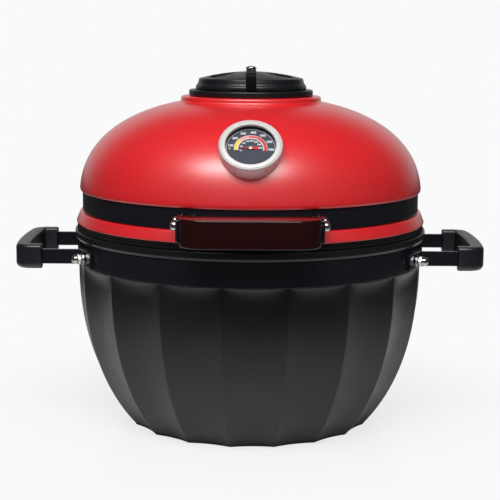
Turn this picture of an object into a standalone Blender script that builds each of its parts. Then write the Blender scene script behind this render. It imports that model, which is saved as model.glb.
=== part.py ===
"""Tabletop kamado grill: a fluted ceramic bowl and a domed ceramic lid, hinged at the rear.

Metres, +Z up. The origin is the centre of the bowl's flat foot, and the front faces -Y.
"""

import math

import bmesh
import bpy
from mathutils import Matrix, Vector

# Clearance and fineness
GAP = 0.0003
MERGE = 0.00001
STEPS_PER_FLUTE = 4
LID_STEPS = 48
FIRE_STEPS = 36
VENT_STEPS = 36
SMALL_STEPS = 24
BOLT_STEPS = 10
BAR_STEPS = 6

# Ceramic bowl
BODY_R = 0.171
WALL = 0.018
FLOOR_T = 0.020
BOWL_WIDEST_Z = 0.155
BOWL_DROP = 0.2045
BOWL_POWER = 2.15
FOOT_EDGE = 0.003
FLUTES = 18
FLUTE_DEPTH = 0.0055
FLUTE_FOOT_DEPTH = 0.0044
FLUTE_END = 0.016
FLUTE_TURN = math.radians(1.6)
SHOULDER_Z = 0.1623
BASE_LIP_STAND = 0.0027
BASE_LIP_H = 0.0084
LIP_EDGE = 0.002

# Steel bands and felt gaskets
BAND_T = 0.002
BAND_SPLIT = 0.004
BASE_BAND_STAND = 0.0013
BASE_BAND_H = 0.0237
LID_BAND_SINK = 0.0035
LID_BAND_H = 0.0195
GASKET_T = 0.0029
GASKET_INSET = 0.002

# Ceramic lid
LID_LIP_INSET = 0.0012
LID_LIP_SLOPE = 0.0038
LID_LIP_H = 0.011
DOME_RISE = 0.1015
DOME_POWER = 2.35
DOME_SINK = 0.0088
DOME_EDGE = 0.005
COLLAR_R = 0.0695
COLLAR_H = 0.0005
COLLAR_EDGE = 0.002
COLLAR_FILLET = 0.004
CHIMNEY_R = 0.040

# Fire box, fire ring and the two grids
FIRE_BOX_TAPER = 0.034
FIRE_BOX_H = 0.098
FIRE_WALL = 0.013
LEDGE_H = 0.040
LEDGE_W = 0.018
FIRE_RING_SPACE = 0.006
FIRE_RING_TAPER = 0.017
FIRE_RING_H = 0.060
GRATE_T = 0.008
GRATE_SLOTS = 7
GRATE_SLOT_W = 0.009
GRATE_SLOT_PITCH = 0.022
GRATE_RIM = 0.012
GRID_WIRE_R = 0.003
GRID_BAR_R = 0.002
GRID_BARS = 11
GRID_PITCH = 0.023

# Draft door at the rear
DRAFT_Z = 0.020
DRAFT_H = 0.040
DRAFT_STAND = 0.0015
DRAFT_SHEET = 0.0018
DRAFT_LIP = 0.0045
DRAFT_FROM = math.radians(-13)
DRAFT_TO = math.radians(37)
DRAFT_STOP = math.radians(0.8)
DRAFT_STEPS = 12
DOOR_HALF = math.radians(11)
WINDOW_W = 0.050
WINDOW_H = 0.026
SLEEVE_WALL = 0.002
DOOR_KNOB_R = 0.0055
DOOR_KNOB_L = 0.010
DOOR_STUD_R = 0.002

# Top vent with its damper
FLANGE_R = 0.0615
FLANGE_T = 0.0058
FLANGE_EDGE = 0.0012
SPIGOT_WALL = 0.0045
SPIGOT_L = 0.020
CAP_R = 0.055
CAP_TOP_R = 0.052
CAP_SKIRT_H = 0.0106
CAP_RISE = 0.007
CAP_WALL = 0.004
PETALS = 3
PETAL_INNER = 0.0225
PETAL_INNER_R = 0.0045
PETAL_OUTER = 0.0365
PETAL_OUTER_R = 0.0095
DAMPER_PLAY = 0.004
DAMPER_T = 0.002
DAMPER_HUB_R = 0.008
DAMPER_BOLT_R = 0.003
DAMPER_HEAD_R = 0.0055
DAMPER_HEAD_T = 0.003
LEVER_W = 0.0098
LEVER_T = 0.002
LEVER_TAIL = 0.008
LEVER_STAND = 0.002
LEVER_DROP = 0.0025
LEVER_BEND = 0.003
ACORN_R = 0.0052
ACORN_H = 0.0042

# Thermometer
THERMO_INSET = 0.0228
THERMO_TILT = math.radians(44)
THERMO_SINK = 0.0052
CASE_R = 0.02875
CASE_DEPTH = 0.015
CASE_WALL = 0.002
BEZEL_OPEN_R = 0.0222
BEZEL_T = 0.0025
BEZEL_EDGE = 0.001
GLASS_T = 0.0015
DIAL_T = 0.001
DIAL_SPACE = 0.003
STEM_BUSH_R = 0.0045
STEM_R = 0.003
STEM_REACH = 0.050
STEM_NUT_R = 0.009
STEM_NUT_T = 0.005
NUT_SEAT = 0.0015
POINTER_L = 0.0105
POINTER_TAIL = 0.0066
POINTER_W = 0.0016
POINTER_T = 0.0006
POINTER_LIFT = 0.001
POINTER_HUB_R = 0.0022
POINTER_PIN_R = 0.0009

# Lid handle
HANDLE_STAND = 0.0205
HANDLE_DEPTH = 0.034
HANDLE_HALF = 0.062
HANDLE_FLAT = 0.0385
HANDLE_END_DEPTH = 0.015
HANDLE_DROP = 0.0077
HANDLE_H = 0.0232
HANDLE_EDGE = 0.003
LUG_T = 0.0025
LUG_RISE = 0.001
LUG_INSET = 0.002
LUG_FOOT_H = 0.015
LUG_BOLT_R = 0.0026
LUG_BOLT_SINK = 0.007
LUG_EAR_L = 0.018
LUG_BOLT_EDGE = 0.006
LUG_EAR_ROOT = 0.001
HANDLE_BOLT_SETBACK = 0.026
HANDLE_BOLT_L = 0.014

# Side handles
STRAP_T = 0.003
STRAP_H = 0.0144
STRAP_RISE = 0.0026
STRAP_ARM_Y = 0.058
STRAP_STAND = 0.0474
STRAP_BEND = 0.007
STRAP_FOOT_L = 0.02905
STUD_SET = 0.013452
STUD_R = 0.003
STUD_L = 0.010
GRIP_W = 0.013
GRIP_H = 0.0236
GRIP_LEG = 0.026
GRIP_EDGE = 0.0035

# Rear hinge
HINGE_STAND = 0.021
PIN_R = 0.003
PIN_HEAD_R = 0.005
PIN_HEAD_T = 0.0025
EAR_R = 0.0085
EAR_T = 0.003
BASE_EAR_X = 0.0215
LID_EAR_X = 0.0170
BRACKET_T = 0.003
BRACKET_INSET = 0.002
BRACKET_EDGE = 0.008117
HINGE_BOLT_CLEAR = 0.002808
HINGE_BOLT_R = 0.0025
HINGE_BOLT_HEAD_R = 0.005
HINGE_BOLT_HEAD_T = 0.0035

# Radii of the shells and what they carry
BASE_BAND_R = BODY_R + BASE_BAND_STAND
BASE_LIP_R = BASE_BAND_R + BASE_LIP_STAND
LID_BAND_R = BODY_R - LID_BAND_SINK
LID_LIP_R = BASE_LIP_R - LID_LIP_INSET
LID_LIP_TOP_R = LID_LIP_R - LID_LIP_SLOPE
INNER_R = BODY_R - WALL
FIRE_RING_TOP_R = INNER_R - FIRE_RING_SPACE
FIRE_BOX_TOP_R = FIRE_RING_TOP_R - FIRE_RING_TAPER
FIRE_BOX_BASE_R = FIRE_BOX_TOP_R - FIRE_BOX_TAPER
LEDGE_R = FIRE_BOX_BASE_R - LEDGE_W
THERMO_R = BODY_R - THERMO_INSET
WIDEST_R = max(BASE_LIP_R, LID_LIP_R, BASE_BAND_R, LID_BAND_R, BODY_R)

# Heights of the stack, from the foot up
BASE_BAND_Z = SHOULDER_Z + GAP
BASE_GROOVE_TOP = BASE_BAND_Z + BASE_BAND_H + GAP
BASE_RIM_Z = BASE_GROOVE_TOP + BASE_LIP_H
BASE_GASKET_Z = BASE_RIM_Z + GAP
LID_GASKET_Z = BASE_GASKET_Z + GASKET_T + GAP
LID_RIM_Z = LID_GASKET_Z + GASKET_T + GAP
LID_GROOVE_Z = LID_RIM_Z + LID_LIP_H
LID_BAND_Z = LID_GROOVE_Z + GAP
LID_GROOVE_TOP = LID_BAND_Z + LID_BAND_H + GAP
DOME_Z = LID_GROOVE_TOP - DOME_SINK
COLLAR_Z = DOME_Z + DOME_RISE + COLLAR_H
FLANGE_Z = COLLAR_Z + GAP
CAP_Z = FLANGE_Z + FLANGE_T + GAP
CAP_EDGE_Z = CAP_Z + CAP_SKIRT_H
CAP_CREST_Z = CAP_EDGE_Z + CAP_RISE
FIRE_BOX_Z = FLOOR_T + GAP
FIRE_RING_Z = FIRE_BOX_Z + FIRE_BOX_H + GAP
LEDGE_Z = FIRE_BOX_Z + LEDGE_H
HINGE_Y = WIDEST_R + HINGE_STAND
HINGE_Z = LID_GASKET_Z - GAP / 2

# Places that several pieces share
STRAP_Z = BASE_BAND_Z + STRAP_RISE + STRAP_H / 2
STRAP_FOOT_R = BASE_BAND_R + GAP + STRAP_T / 2
STRAP_X = BASE_BAND_R + GAP + STRAP_STAND + STRAP_T / 2
FOOT_END = math.asin((STRAP_ARM_Y + STRAP_FOOT_L) / STRAP_FOOT_R)
STUD_ANGLE = math.asin((STRAP_ARM_Y + STUD_SET) / BASE_BAND_R)
HINGE_BOLT_X = BASE_EAR_X + EAR_T / 2 + HINGE_BOLT_HEAD_R + HINGE_BOLT_CLEAR
HINGE_BOLT_ANGLE = math.asin(HINGE_BOLT_X / BASE_BAND_R)
BRACKET_HALF = HINGE_BOLT_ANGLE + math.asin(BRACKET_EDGE / BASE_BAND_R)
HANDLE_BACK_Y = -(LID_BAND_R + HANDLE_STAND)
HANDLE_FRONT_Y = HANDLE_BACK_Y - HANDLE_DEPTH
HANDLE_Z = LID_BAND_Z - HANDLE_DROP
LUG_TOP_Z = HANDLE_Z + HANDLE_H + LUG_RISE
LUG_BOLT_Z = LUG_TOP_Z - LUG_BOLT_SINK
LUG_X = HANDLE_HALF + GAP + LUG_T / 2
LUG_EAR_X = HANDLE_HALF - LUG_T / 2
LUG_EAR_BACK_Y = -math.sqrt((LID_BAND_R - LUG_EAR_ROOT) ** 2 - HANDLE_HALF**2)
LUG_EAR_FRONT_Y = LUG_EAR_BACK_Y - LUG_EAR_L
LUG_REAR_BOLT_Y = LUG_EAR_FRONT_Y + LUG_BOLT_EDGE
LUG_FRONT_BOLT_Y = HANDLE_FRONT_Y + HANDLE_BOLT_SETBACK
DRAFT_MID_Z = DRAFT_Z + DRAFT_H / 2
BASE_HINGE_BOLT_Z = BASE_BAND_Z + BASE_BAND_H / 2
LID_HINGE_BOLT_Z = LID_BAND_Z + LID_BAND_H / 2
CASE_BACK = -THERMO_SINK + GAP
CASE_TOP = CASE_BACK + CASE_DEPTH - BEZEL_T - GAP
DIAL_TOP = CASE_TOP - GLASS_T - DIAL_SPACE
X_AXIS = Vector((1, 0, 0))
Y_AXIS = Vector((0, 1, 0))
Z_AXIS = Vector((0, 0, 1))

# Finishes: colour, roughness, metallic
FINISHES = {
    "charcoal_ceramic": ((0.030, 0.029, 0.031), 0.45, 0.0),
    "red_glaze": ((0.62, 0.030, 0.028), 0.28, 0.0),
    "black_steel": ((0.012, 0.012, 0.013), 0.35, 0.6),
    "felt": ((0.010, 0.010, 0.010), 0.95, 0.0),
    "fire_clay": ((0.45, 0.36, 0.27), 0.9, 0.0),
    "cast_iron": ((0.020, 0.020, 0.021), 0.55, 0.5),
    "bright_steel": ((0.55, 0.55, 0.56), 0.25, 1.0),
    "chrome": ((0.72, 0.72, 0.73), 0.12, 1.0),
    "black_plastic": ((0.014, 0.014, 0.015), 0.5, 0.0),
    "dark_lacquer": ((0.030, 0.008, 0.007), 0.15, 0.0),
    "dial_black": ((0.030, 0.030, 0.033), 0.6, 0.0),
    "clear_glass": ((0.9, 0.9, 0.9), 0.03, 0.0),
    "pointer_red": ((0.55, 0.02, 0.02), 0.4, 0.0),
}


def clear_scene():
    for obj in list(bpy.data.objects):
        bpy.data.objects.remove(obj)


def collection(name):
    made = bpy.data.collections.new(name)
    bpy.context.scene.collection.children.link(made)
    return made


def finish(name):
    """The material of this name, made on first use."""
    made = bpy.data.materials.get(name)
    if made:
        return made
    colour, roughness, metallic = FINISHES[name]
    made = bpy.data.materials.new(name)
    made.use_nodes = True
    shader = made.node_tree.nodes["Principled BSDF"]
    shader.inputs["Base Color"].default_value = (*colour, 1)
    shader.inputs["Roughness"].default_value = roughness
    shader.inputs["Metallic"].default_value = metallic
    return made


def link(name, data):
    obj = bpy.data.objects.new(name, data)
    bpy.data.collections["kamado_grill"].objects.link(obj)
    return obj


def as_part(obj, finish_name, pivot=None):
    """Give a piece its finish and, if it moves, its parent empty on the joint's axis."""
    obj.data.materials.clear()
    obj.data.materials.append(finish(finish_name))
    if pivot:
        obj.parent = pivot
        obj.matrix_parent_inverse = Matrix.Translation(pivot.location).inverted()
    return obj


def as_cutter(obj):
    bpy.data.collections["kamado_grill"].objects.unlink(obj)
    bpy.data.collections["cutters"].objects.link(obj)
    obj.hide_render = True
    obj.display_type = "WIRE"
    return obj


def boolean(obj, operation, other):
    modifier = obj.modifiers.new(operation.title(), "BOOLEAN")
    modifier.operation = operation
    modifier.solver = "EXACT"
    modifier.object = as_cutter(other)
    return obj


def cut(obj, other):
    return boolean(obj, "DIFFERENCE", other)


def join(obj, other):
    return boolean(obj, "UNION", other)


def smooth(mesh):
    mesh.shade_smooth()
    mesh.set_sharp_from_angle(angle=math.radians(35))


def evaluated_mesh(obj):
    bpy.context.view_layer.update()
    graph = bpy.context.evaluated_depsgraph_get()
    return bpy.data.meshes.new_from_object(obj.evaluated_get(graph))


def turned(name, profile, steps, matrix=None, closed=True):
    """A turned solid. The profile is (radius, height) pairs, running down its outer side."""
    mesh = bpy.data.meshes.new(name)
    count = len(profile)
    edges = [(i, i + 1) for i in range(count - 1)]
    if closed:
        edges.append((count - 1, 0))
    mesh.from_pydata([(r, 0, z) for r, z in profile], edges, [])
    obj = link(name, mesh)
    obj.matrix_basis = matrix or Matrix()
    screw = obj.modifiers.new("Turn", "SCREW")
    screw.steps = steps
    screw.render_steps = steps
    screw.use_merge_vertices = True
    screw.merge_threshold = MERGE
    screw.use_smooth_shade = True
    return obj


def prism(name, outline, low, high, matrix=None):
    """A flat outline in the XY plane, extruded from low to high along Z and then placed."""
    curve = bpy.data.curves.new(name, "CURVE")
    curve.dimensions = "2D"
    curve.fill_mode = "BOTH"
    curve.extrude = (high - low) / 2
    spline = curve.splines.new("POLY")
    spline.points.add(len(outline) - 1)
    for point, (x, y) in zip(spline.points, outline):
        point.co = (x, y, 0, 1)
    spline.use_cyclic_u = True
    drawn = link(name + "_outline", curve)
    mesh = evaluated_mesh(drawn)
    bpy.data.objects.remove(drawn)
    shape = bmesh.new()
    shape.from_mesh(mesh)
    bmesh.ops.remove_doubles(shape, verts=shape.verts, dist=MERGE)
    bmesh.ops.recalc_face_normals(shape, faces=shape.faces)
    bmesh.ops.translate(shape, verts=shape.verts, vec=Vector((0, 0, (low + high) / 2)))
    bmesh.ops.transform(shape, verts=shape.verts, matrix=matrix or Matrix())
    shape.to_mesh(mesh)
    shape.free()
    smooth(mesh)
    return link(name, mesh)


def box(name, low, high):
    """A box from its lowest to its highest corner."""
    mesh = bpy.data.meshes.new(name)
    shape = bmesh.new()
    bmesh.ops.create_cube(shape, size=1)
    size = [b - a for a, b in zip(low, high)]
    middle = [(a + b) / 2 for a, b in zip(low, high)]
    bmesh.ops.scale(shape, verts=shape.verts, vec=size)
    bmesh.ops.translate(shape, verts=shape.verts, vec=middle)
    shape.to_mesh(mesh)
    shape.free()
    return link(name, mesh)


def drills(name, places, radius, half_length, segments=BOLT_STEPS):
    """One cutter of several round bars, each centred on a place and lying along its Z axis."""
    mesh = bpy.data.meshes.new(name)
    shape = bmesh.new()
    for place in places:
        bmesh.ops.create_cone(
            shape,
            cap_ends=True,
            segments=segments,
            radius1=radius,
            radius2=radius,
            depth=2 * half_length,
            matrix=place,
        )
    shape.to_mesh(mesh)
    shape.free()
    return link(name, mesh)


def aimed(origin, direction, side=X_AXIS):
    """A placement whose Z axis points along direction and whose X axis lies towards side."""
    z = Vector(direction).normalized()
    x = (side - side.dot(z) * z).normalized()
    y = z.cross(x)
    turn = Matrix((x, y, z)).transposed().to_4x4()
    return Matrix.Translation(Vector(origin)) @ turn


def across(x=0.0):
    """A placement that stands an outline drawn in (y, z) upright, with its thickness along X."""
    turn = Matrix((Y_AXIS, Z_AXIS, X_AXIS)).transposed().to_4x4()
    return Matrix.Translation(Vector((x, 0, 0))) @ turn


def arc(x, y, radius, start, end, steps, radius_y=None):
    """Points along an arc, or along part of an ellipse if a second radius is given."""
    tall = radius if radius_y is None else radius_y
    angles = [start + (end - start) * i / steps for i in range(steps + 1)]
    return [(x + radius * math.cos(a), y + tall * math.sin(a)) for a in angles]


def sector(inner, outer, start, end, steps):
    """A curved strip in plan, between two radii and two angles that are counted from the rear."""
    a = math.pi / 2 - start
    b = math.pi / 2 - end
    return arc(0, 0, outer, a, b, steps) + arc(0, 0, inner, b, a, steps)


def ribbon(path, width):
    """The outline of a strip of constant width along a path in plan, with mitred corners."""
    points = [Vector(p) for p in path]
    left, right = [], []
    last = len(points) - 1
    for i, point in enumerate(points):
        into = (points[max(i, 1)] - points[max(i, 1) - 1]).normalized()
        out = (points[min(i, last - 1) + 1] - points[min(i, last - 1)]).normalized()
        normal = Vector((-into.y, into.x))
        mitre = (normal + Vector((-out.y, out.x))).normalized()
        reach = width / 2 / mitre.dot(normal)
        left.append(tuple(point + mitre * reach))
        right.append(tuple(point - mitre * reach))
    return left + right[::-1]


def mirrored(outline, sign):
    return [(sign * x, y) for x, y in outline]


def superellipse(a, b, power, start, end, steps):
    """(radius, height) points on a superellipse, from one angle parameter to another."""
    points = []
    for i in range(steps + 1):
        t = start + (end - start) * i / steps
        points.append((a * math.cos(t) ** (2 / power), b * math.sin(t) ** (2 / power)))
    return points


def superellipse_angle(share, power):
    """The angle parameter at which the height is this share of its most."""
    return math.asin(share ** (power / 2))


def bowl_radius(z, inset=0.0):
    """The bowl's radius over its ridges at a height, or that of a surface inset from it."""
    drop = max(BOWL_WIDEST_Z - z, 0) / (BOWL_DROP - inset)
    return (BODY_R - inset) * (1 - drop**BOWL_POWER) ** (1 / BOWL_POWER)


def dome_height(radius, inset=0.0):
    share = radius / (BODY_R - inset)
    return DOME_Z + (DOME_RISE - inset) * (1 - share**DOME_POWER) ** (1 / DOME_POWER)


def flute_depth(angle, z):
    """How far a flute is scooped in below its ridges: sharp ridges and a round upper end."""
    pitch = 2 * math.pi / FLUTES
    across_flute = 2 * ((angle / pitch) % 1) - 1
    end_start = SHOULDER_Z - FLUTE_END
    depth = FLUTE_FOOT_DEPTH + (FLUTE_DEPTH - FLUTE_FOOT_DEPTH) * min(z / end_start, 1)
    along_end = min(max((z - end_start) / FLUTE_END, 0), 1)
    return depth * (1 - across_flute**2) * math.sqrt(1 - along_end**2)


def rim_edge(radius, z, edge):
    """A rounded outer edge under a flat top, running down."""
    return arc(radius - edge, z - edge, edge, math.pi / 2, 0, 2)


def make_base_bowl():
    """The bowl: turned with its grooves, then its outside pressed in to form the flutes."""
    groove_r = BASE_BAND_R - BAND_T - GAP
    heights = [SHOULDER_Z - FLUTE_END * share for share in (0.0, 0.08, 0.25, 0.55, 1.0)]
    steps = 6
    last = heights[-1]
    heights += [last + (FOOT_EDGE - last) * i / steps for i in range(1, steps + 1)]
    outer = [(bowl_radius(z), z) for z in heights]
    foot = [(bowl_radius(FOOT_EDGE) - FOOT_EDGE, 0), (0, 0)]
    inner_steps = 5
    inner = []
    for i in range(inner_steps + 1):
        z = FLOOR_T + (BOWL_WIDEST_Z - FLOOR_T) * i / inner_steps
        inner.append((bowl_radius(z, WALL), z))
    lip = rim_edge(BASE_LIP_R, BASE_RIM_Z, LIP_EDGE) + [(BASE_LIP_R, BASE_GROOVE_TOP)]
    groove = [(groove_r, BASE_GROOVE_TOP), (groove_r, SHOULDER_Z)]
    profile = [(0, FLOOR_T)] + inner + [(INNER_R, BASE_RIM_Z)] + lip + groove + outer + foot
    obj = turned("base_bowl", profile, FLUTES * STEPS_PER_FLUTE, closed=False)
    mesh = evaluated_mesh(obj)
    obj.modifiers.clear()
    obj.data = mesh
    for vertex in mesh.vertices:
        x, y, z = vertex.co
        radius = math.hypot(x, y)
        if z < SHOULDER_Z and radius > bowl_radius(z) - WALL / 2:
            pressed = 1 - flute_depth(math.atan2(y, x), z) / radius
            vertex.co = (x * pressed, y * pressed, z)
    smooth(mesh)
    mesh.transform(Matrix.Rotation(FLUTE_TURN, 4, "Z"))
    half = WINDOW_W / 2 + SLEEVE_WALL + GAP
    tall = WINDOW_H / 2 + SLEEVE_WALL + GAP
    hole = box(
        "draft_hole",
        (-half, LEDGE_R, DRAFT_MID_Z - tall),
        (half, WIDEST_R, DRAFT_MID_Z + tall),
    )
    return as_part(cut(obj, hole), "charcoal_ceramic")


def make_lid_dome(pivot):
    """The lid: lip, band groove, domed top and a collar around the chimney hole."""
    groove_r = LID_BAND_R - BAND_T - GAP
    collar_foot_r = COLLAR_R + COLLAR_FILLET
    share_top = (dome_height(collar_foot_r) - DOME_Z) / DOME_RISE
    share_edge = (DOME_SINK + DOME_EDGE) / DOME_RISE
    outer = superellipse(
        BODY_R,
        DOME_RISE,
        DOME_POWER,
        superellipse_angle(share_top, DOME_POWER),
        superellipse_angle(share_edge, DOME_POWER),
        8,
    )
    outer = [(r, DOME_Z + z) for r, z in outer]
    edge_r = outer[-1][0]
    edge_z = LID_GROOVE_TOP + DOME_EDGE
    under = arc(edge_r - DOME_EDGE / 2, edge_z, DOME_EDGE / 2, 0, -math.pi / 2, 2, DOME_EDGE)
    collar = [(CHIMNEY_R, COLLAR_Z)] + rim_edge(COLLAR_R, COLLAR_Z, COLLAR_EDGE)
    collar_foot = dome_height(collar_foot_r) + COLLAR_FILLET / 2
    collar.append((COLLAR_R, collar_foot))
    collar.append((COLLAR_R + COLLAR_FILLET * 0.35, collar_foot - COLLAR_FILLET * 0.32))
    groove = [(groove_r, LID_GROOVE_TOP), (groove_r, LID_GROOVE_Z)]
    lip = [
        (LID_LIP_TOP_R, LID_GROOVE_Z),
        (LID_LIP_R, LID_RIM_Z + LIP_EDGE / 2),
        (LID_LIP_R - LIP_EDGE / 2, LID_RIM_Z),
    ]
    share_chimney = (dome_height(CHIMNEY_R, WALL) - DOME_Z) / (DOME_RISE - WALL)
    inner = superellipse(
        INNER_R,
        DOME_RISE - WALL,
        DOME_POWER,
        0,
        superellipse_angle(share_chimney, DOME_POWER),
        6,
    )
    inner = [(r, DOME_Z + z) for r, z in inner]
    profile = collar + outer + under[1:] + groove + lip + [(INNER_R, LID_RIM_Z)] + inner
    obj = turned("lid_dome", profile, LID_STEPS)
    face = thermometer_place()
    seat = turned(
        "thermometer_seat",
        [(0, CASE_DEPTH), (CASE_R + GAP, CASE_DEPTH), (CASE_R + GAP, -THERMO_SINK), (0, -THERMO_SINK)],
        SMALL_STEPS,
        face,
        closed=False,
    )
    nut_seat = -(WALL - NUT_SEAT)
    nut_r = STEM_NUT_R + 2 * NUT_SEAT
    inside = turned(
        "stem_nut_seat",
        [(0, nut_seat), (nut_r, nut_seat), (nut_r, -2 * WALL), (0, -2 * WALL)],
        SMALL_STEPS,
        face,
        closed=False,
    )
    hole = drills("stem_hole", [face], STEM_BUSH_R + GAP, 2 * WALL)
    for cutter in (seat, inside, hole):
        cut(obj, cutter)
    return as_part(obj, "red_glaze", pivot)


def ring(name, inner, outer, low, high, steps):
    """A ring of rectangular section."""
    return turned(name, [(inner, high), (outer, high), (outer, low), (inner, low)], steps)


def rear_radial(angle, radius, z):
    """A placement at the rear, on a radius turned by this angle, with Z pointing outwards."""
    out = Vector((math.sin(angle), math.cos(angle), 0))
    return aimed(out * radius + Z_AXIS * z, out, Z_AXIS)


def stud_places(radius):
    """The four places of the side-handle studs on the base band, by name."""
    places = {}
    for side, sign in (("left", -1), ("right", 1)):
        for end, turn in (("front", -1), ("rear", 1)):
            out = Vector((sign * math.cos(STUD_ANGLE), turn * math.sin(STUD_ANGLE), 0))
            places[f"{side}_{end}"] = aimed(out * radius + Z_AXIS * STRAP_Z, out, Z_AXIS)
    return places


def hinge_bolt_places(radius, z):
    return {
        "left": rear_radial(-HINGE_BOLT_ANGLE, radius, z),
        "right": rear_radial(HINGE_BOLT_ANGLE, radius, z),
    }


def rear_split(name, low, high):
    half = BAND_SPLIT / 2
    return box(name, (-half, 0, low - BAND_T), (half, WIDEST_R + WALL, high + BAND_T))


def make_base_band():
    top = BASE_BAND_Z + BASE_BAND_H
    steps = FLUTES * STEPS_PER_FLUTE
    obj = ring("base_band", BASE_BAND_R - BAND_T, BASE_BAND_R, BASE_BAND_Z, top, steps)
    cut(obj, rear_split("base_band_split", BASE_BAND_Z, top))
    studs = list(stud_places(BASE_BAND_R).values())
    cut(obj, drills("base_band_stud_holes", studs, STUD_R + GAP, 3 * BAND_T))
    bolts = list(hinge_bolt_places(BASE_BAND_R, BASE_HINGE_BOLT_Z).values())
    cut(obj, drills("base_band_bolt_holes", bolts, HINGE_BOLT_R + GAP, 3 * BAND_T))
    return as_part(obj, "black_steel")


def make_lid_band(pivot):
    """The lid's band, with the two ears at the front that carry the handle's lugs."""
    top = LID_BAND_Z + LID_BAND_H
    obj = ring("lid_band", LID_BAND_R - BAND_T, LID_BAND_R, LID_BAND_Z, top, LID_STEPS)
    cut(obj, rear_split("lid_band_split", LID_BAND_Z, top))
    bolts = list(hinge_bolt_places(LID_BAND_R, LID_HINGE_BOLT_Z).values())
    cut(obj, drills("lid_band_bolt_holes", bolts, HINGE_BOLT_R + GAP, 3 * BAND_T))
    low = LUG_TOP_Z - LUG_FOOT_H + GAP
    for side, sign in (("left", -1), ("right", 1)):
        near = sign * LUG_EAR_X - LUG_T / 2
        far = sign * LUG_EAR_X + LUG_T / 2
        ear = box(
            f"lid_band_ear_{side}",
            (near, LUG_EAR_FRONT_Y, low),
            (far, LUG_EAR_BACK_Y, LUG_TOP_Z),
        )
        join(obj, ear)
    places = [aimed((sign * LUG_EAR_X, LUG_REAR_BOLT_Y, LUG_BOLT_Z), X_AXIS, Y_AXIS) for sign in (-1, 1)]
    cut(obj, drills("lid_band_ear_holes", places, LUG_BOLT_R + GAP, 2 * LUG_T))
    return as_part(obj, "black_steel", pivot)


def make_gaskets(pivot):
    inner = INNER_R + GASKET_INSET
    outer = LID_LIP_R - LIP_EDGE / 2
    base = ring("base_gasket", inner, outer, BASE_GASKET_Z, BASE_GASKET_Z + GASKET_T, LID_STEPS)
    as_part(base, "felt")
    lid = ring("lid_gasket", inner, outer, LID_GASKET_Z, LID_GASKET_Z + GASKET_T, LID_STEPS)
    as_part(lid, "felt", pivot)


def make_fire_parts():
    """Fire box on the bowl's floor, fire ring on the box, and the two grids they carry."""
    top = FIRE_BOX_Z + FIRE_BOX_H
    slope = (FIRE_BOX_TOP_R - FIRE_BOX_BASE_R) / FIRE_BOX_H
    seat_r = FIRE_BOX_BASE_R + slope * LEDGE_H - FIRE_WALL
    fire_box = turned(
        "fire_box",
        [
            (FIRE_BOX_TOP_R - FIRE_WALL, top),
            (FIRE_BOX_TOP_R, top),
            (FIRE_BOX_BASE_R, FIRE_BOX_Z),
            (LEDGE_R, FIRE_BOX_Z),
            (LEDGE_R, LEDGE_Z),
            (seat_r, LEDGE_Z),
        ],
        FIRE_STEPS,
    )
    inlet = box(
        "fire_box_inlet",
        (-WINDOW_W / 2, LEDGE_R / 2, FIRE_BOX_Z - FLOOR_T),
        (WINDOW_W / 2, FIRE_BOX_TOP_R, LEDGE_Z - GRATE_T),
    )
    as_part(cut(fire_box, inlet), "fire_clay")

    ring_top = FIRE_RING_Z + FIRE_RING_H
    fire_ring = turned(
        "fire_ring",
        [
            (FIRE_RING_TOP_R - FIRE_WALL, ring_top),
            (FIRE_RING_TOP_R, ring_top),
            (FIRE_BOX_TOP_R, FIRE_RING_Z),
            (FIRE_BOX_TOP_R - FIRE_WALL, FIRE_RING_Z),
        ],
        FIRE_STEPS,
    )
    as_part(fire_ring, "fire_clay")

    facet = math.cos(math.pi / FIRE_STEPS)
    grate_r = seat_r * facet - GAP
    grate_z = LEDGE_Z + GAP
    grate = turned(
        "charcoal_grate",
        [(0, grate_z + GRATE_T), (grate_r, grate_z + GRATE_T), (grate_r, grate_z), (0, grate_z)],
        FIRE_STEPS,
        closed=False,
    )
    for i in range(GRATE_SLOTS):
        x = (i - (GRATE_SLOTS - 1) / 2) * GRATE_SLOT_PITCH
        reach = math.sqrt((grate_r - GRATE_RIM) ** 2 - x**2)
        slot = box(
            f"grate_slot_{i}",
            (x - GRATE_SLOT_W / 2, -reach, grate_z - GRATE_T),
            (x + GRATE_SLOT_W / 2, reach, grate_z + 2 * GRATE_T),
        )
        cut(grate, slot)
    as_part(grate, "cast_iron")

    grid_r = FIRE_RING_TOP_R - FIRE_WALL / 2
    grid_z = ring_top + GAP + GRID_WIRE_R
    grid = turned(
        "cooking_grid",
        [(grid_r + x, grid_z + z) for x, z in arc(0, 0, GRID_WIRE_R, 0, -2 * math.pi, BAR_STEPS)[:-1]],
        FIRE_STEPS,
    )
    bars = []
    for i in range(GRID_BARS):
        x = (i - (GRID_BARS - 1) / 2) * GRID_PITCH
        reach = math.sqrt((grid_r * math.cos(math.pi / FIRE_STEPS)) ** 2 - x**2)
        bars.append((aimed((x, 0, grid_z), Y_AXIS), reach))
    for i, (place, reach) in enumerate(bars):
        join(grid, drills(f"grid_bar_{i}", [place], GRID_BAR_R, reach, BAR_STEPS))
    as_part(grid, "bright_steel")


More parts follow.
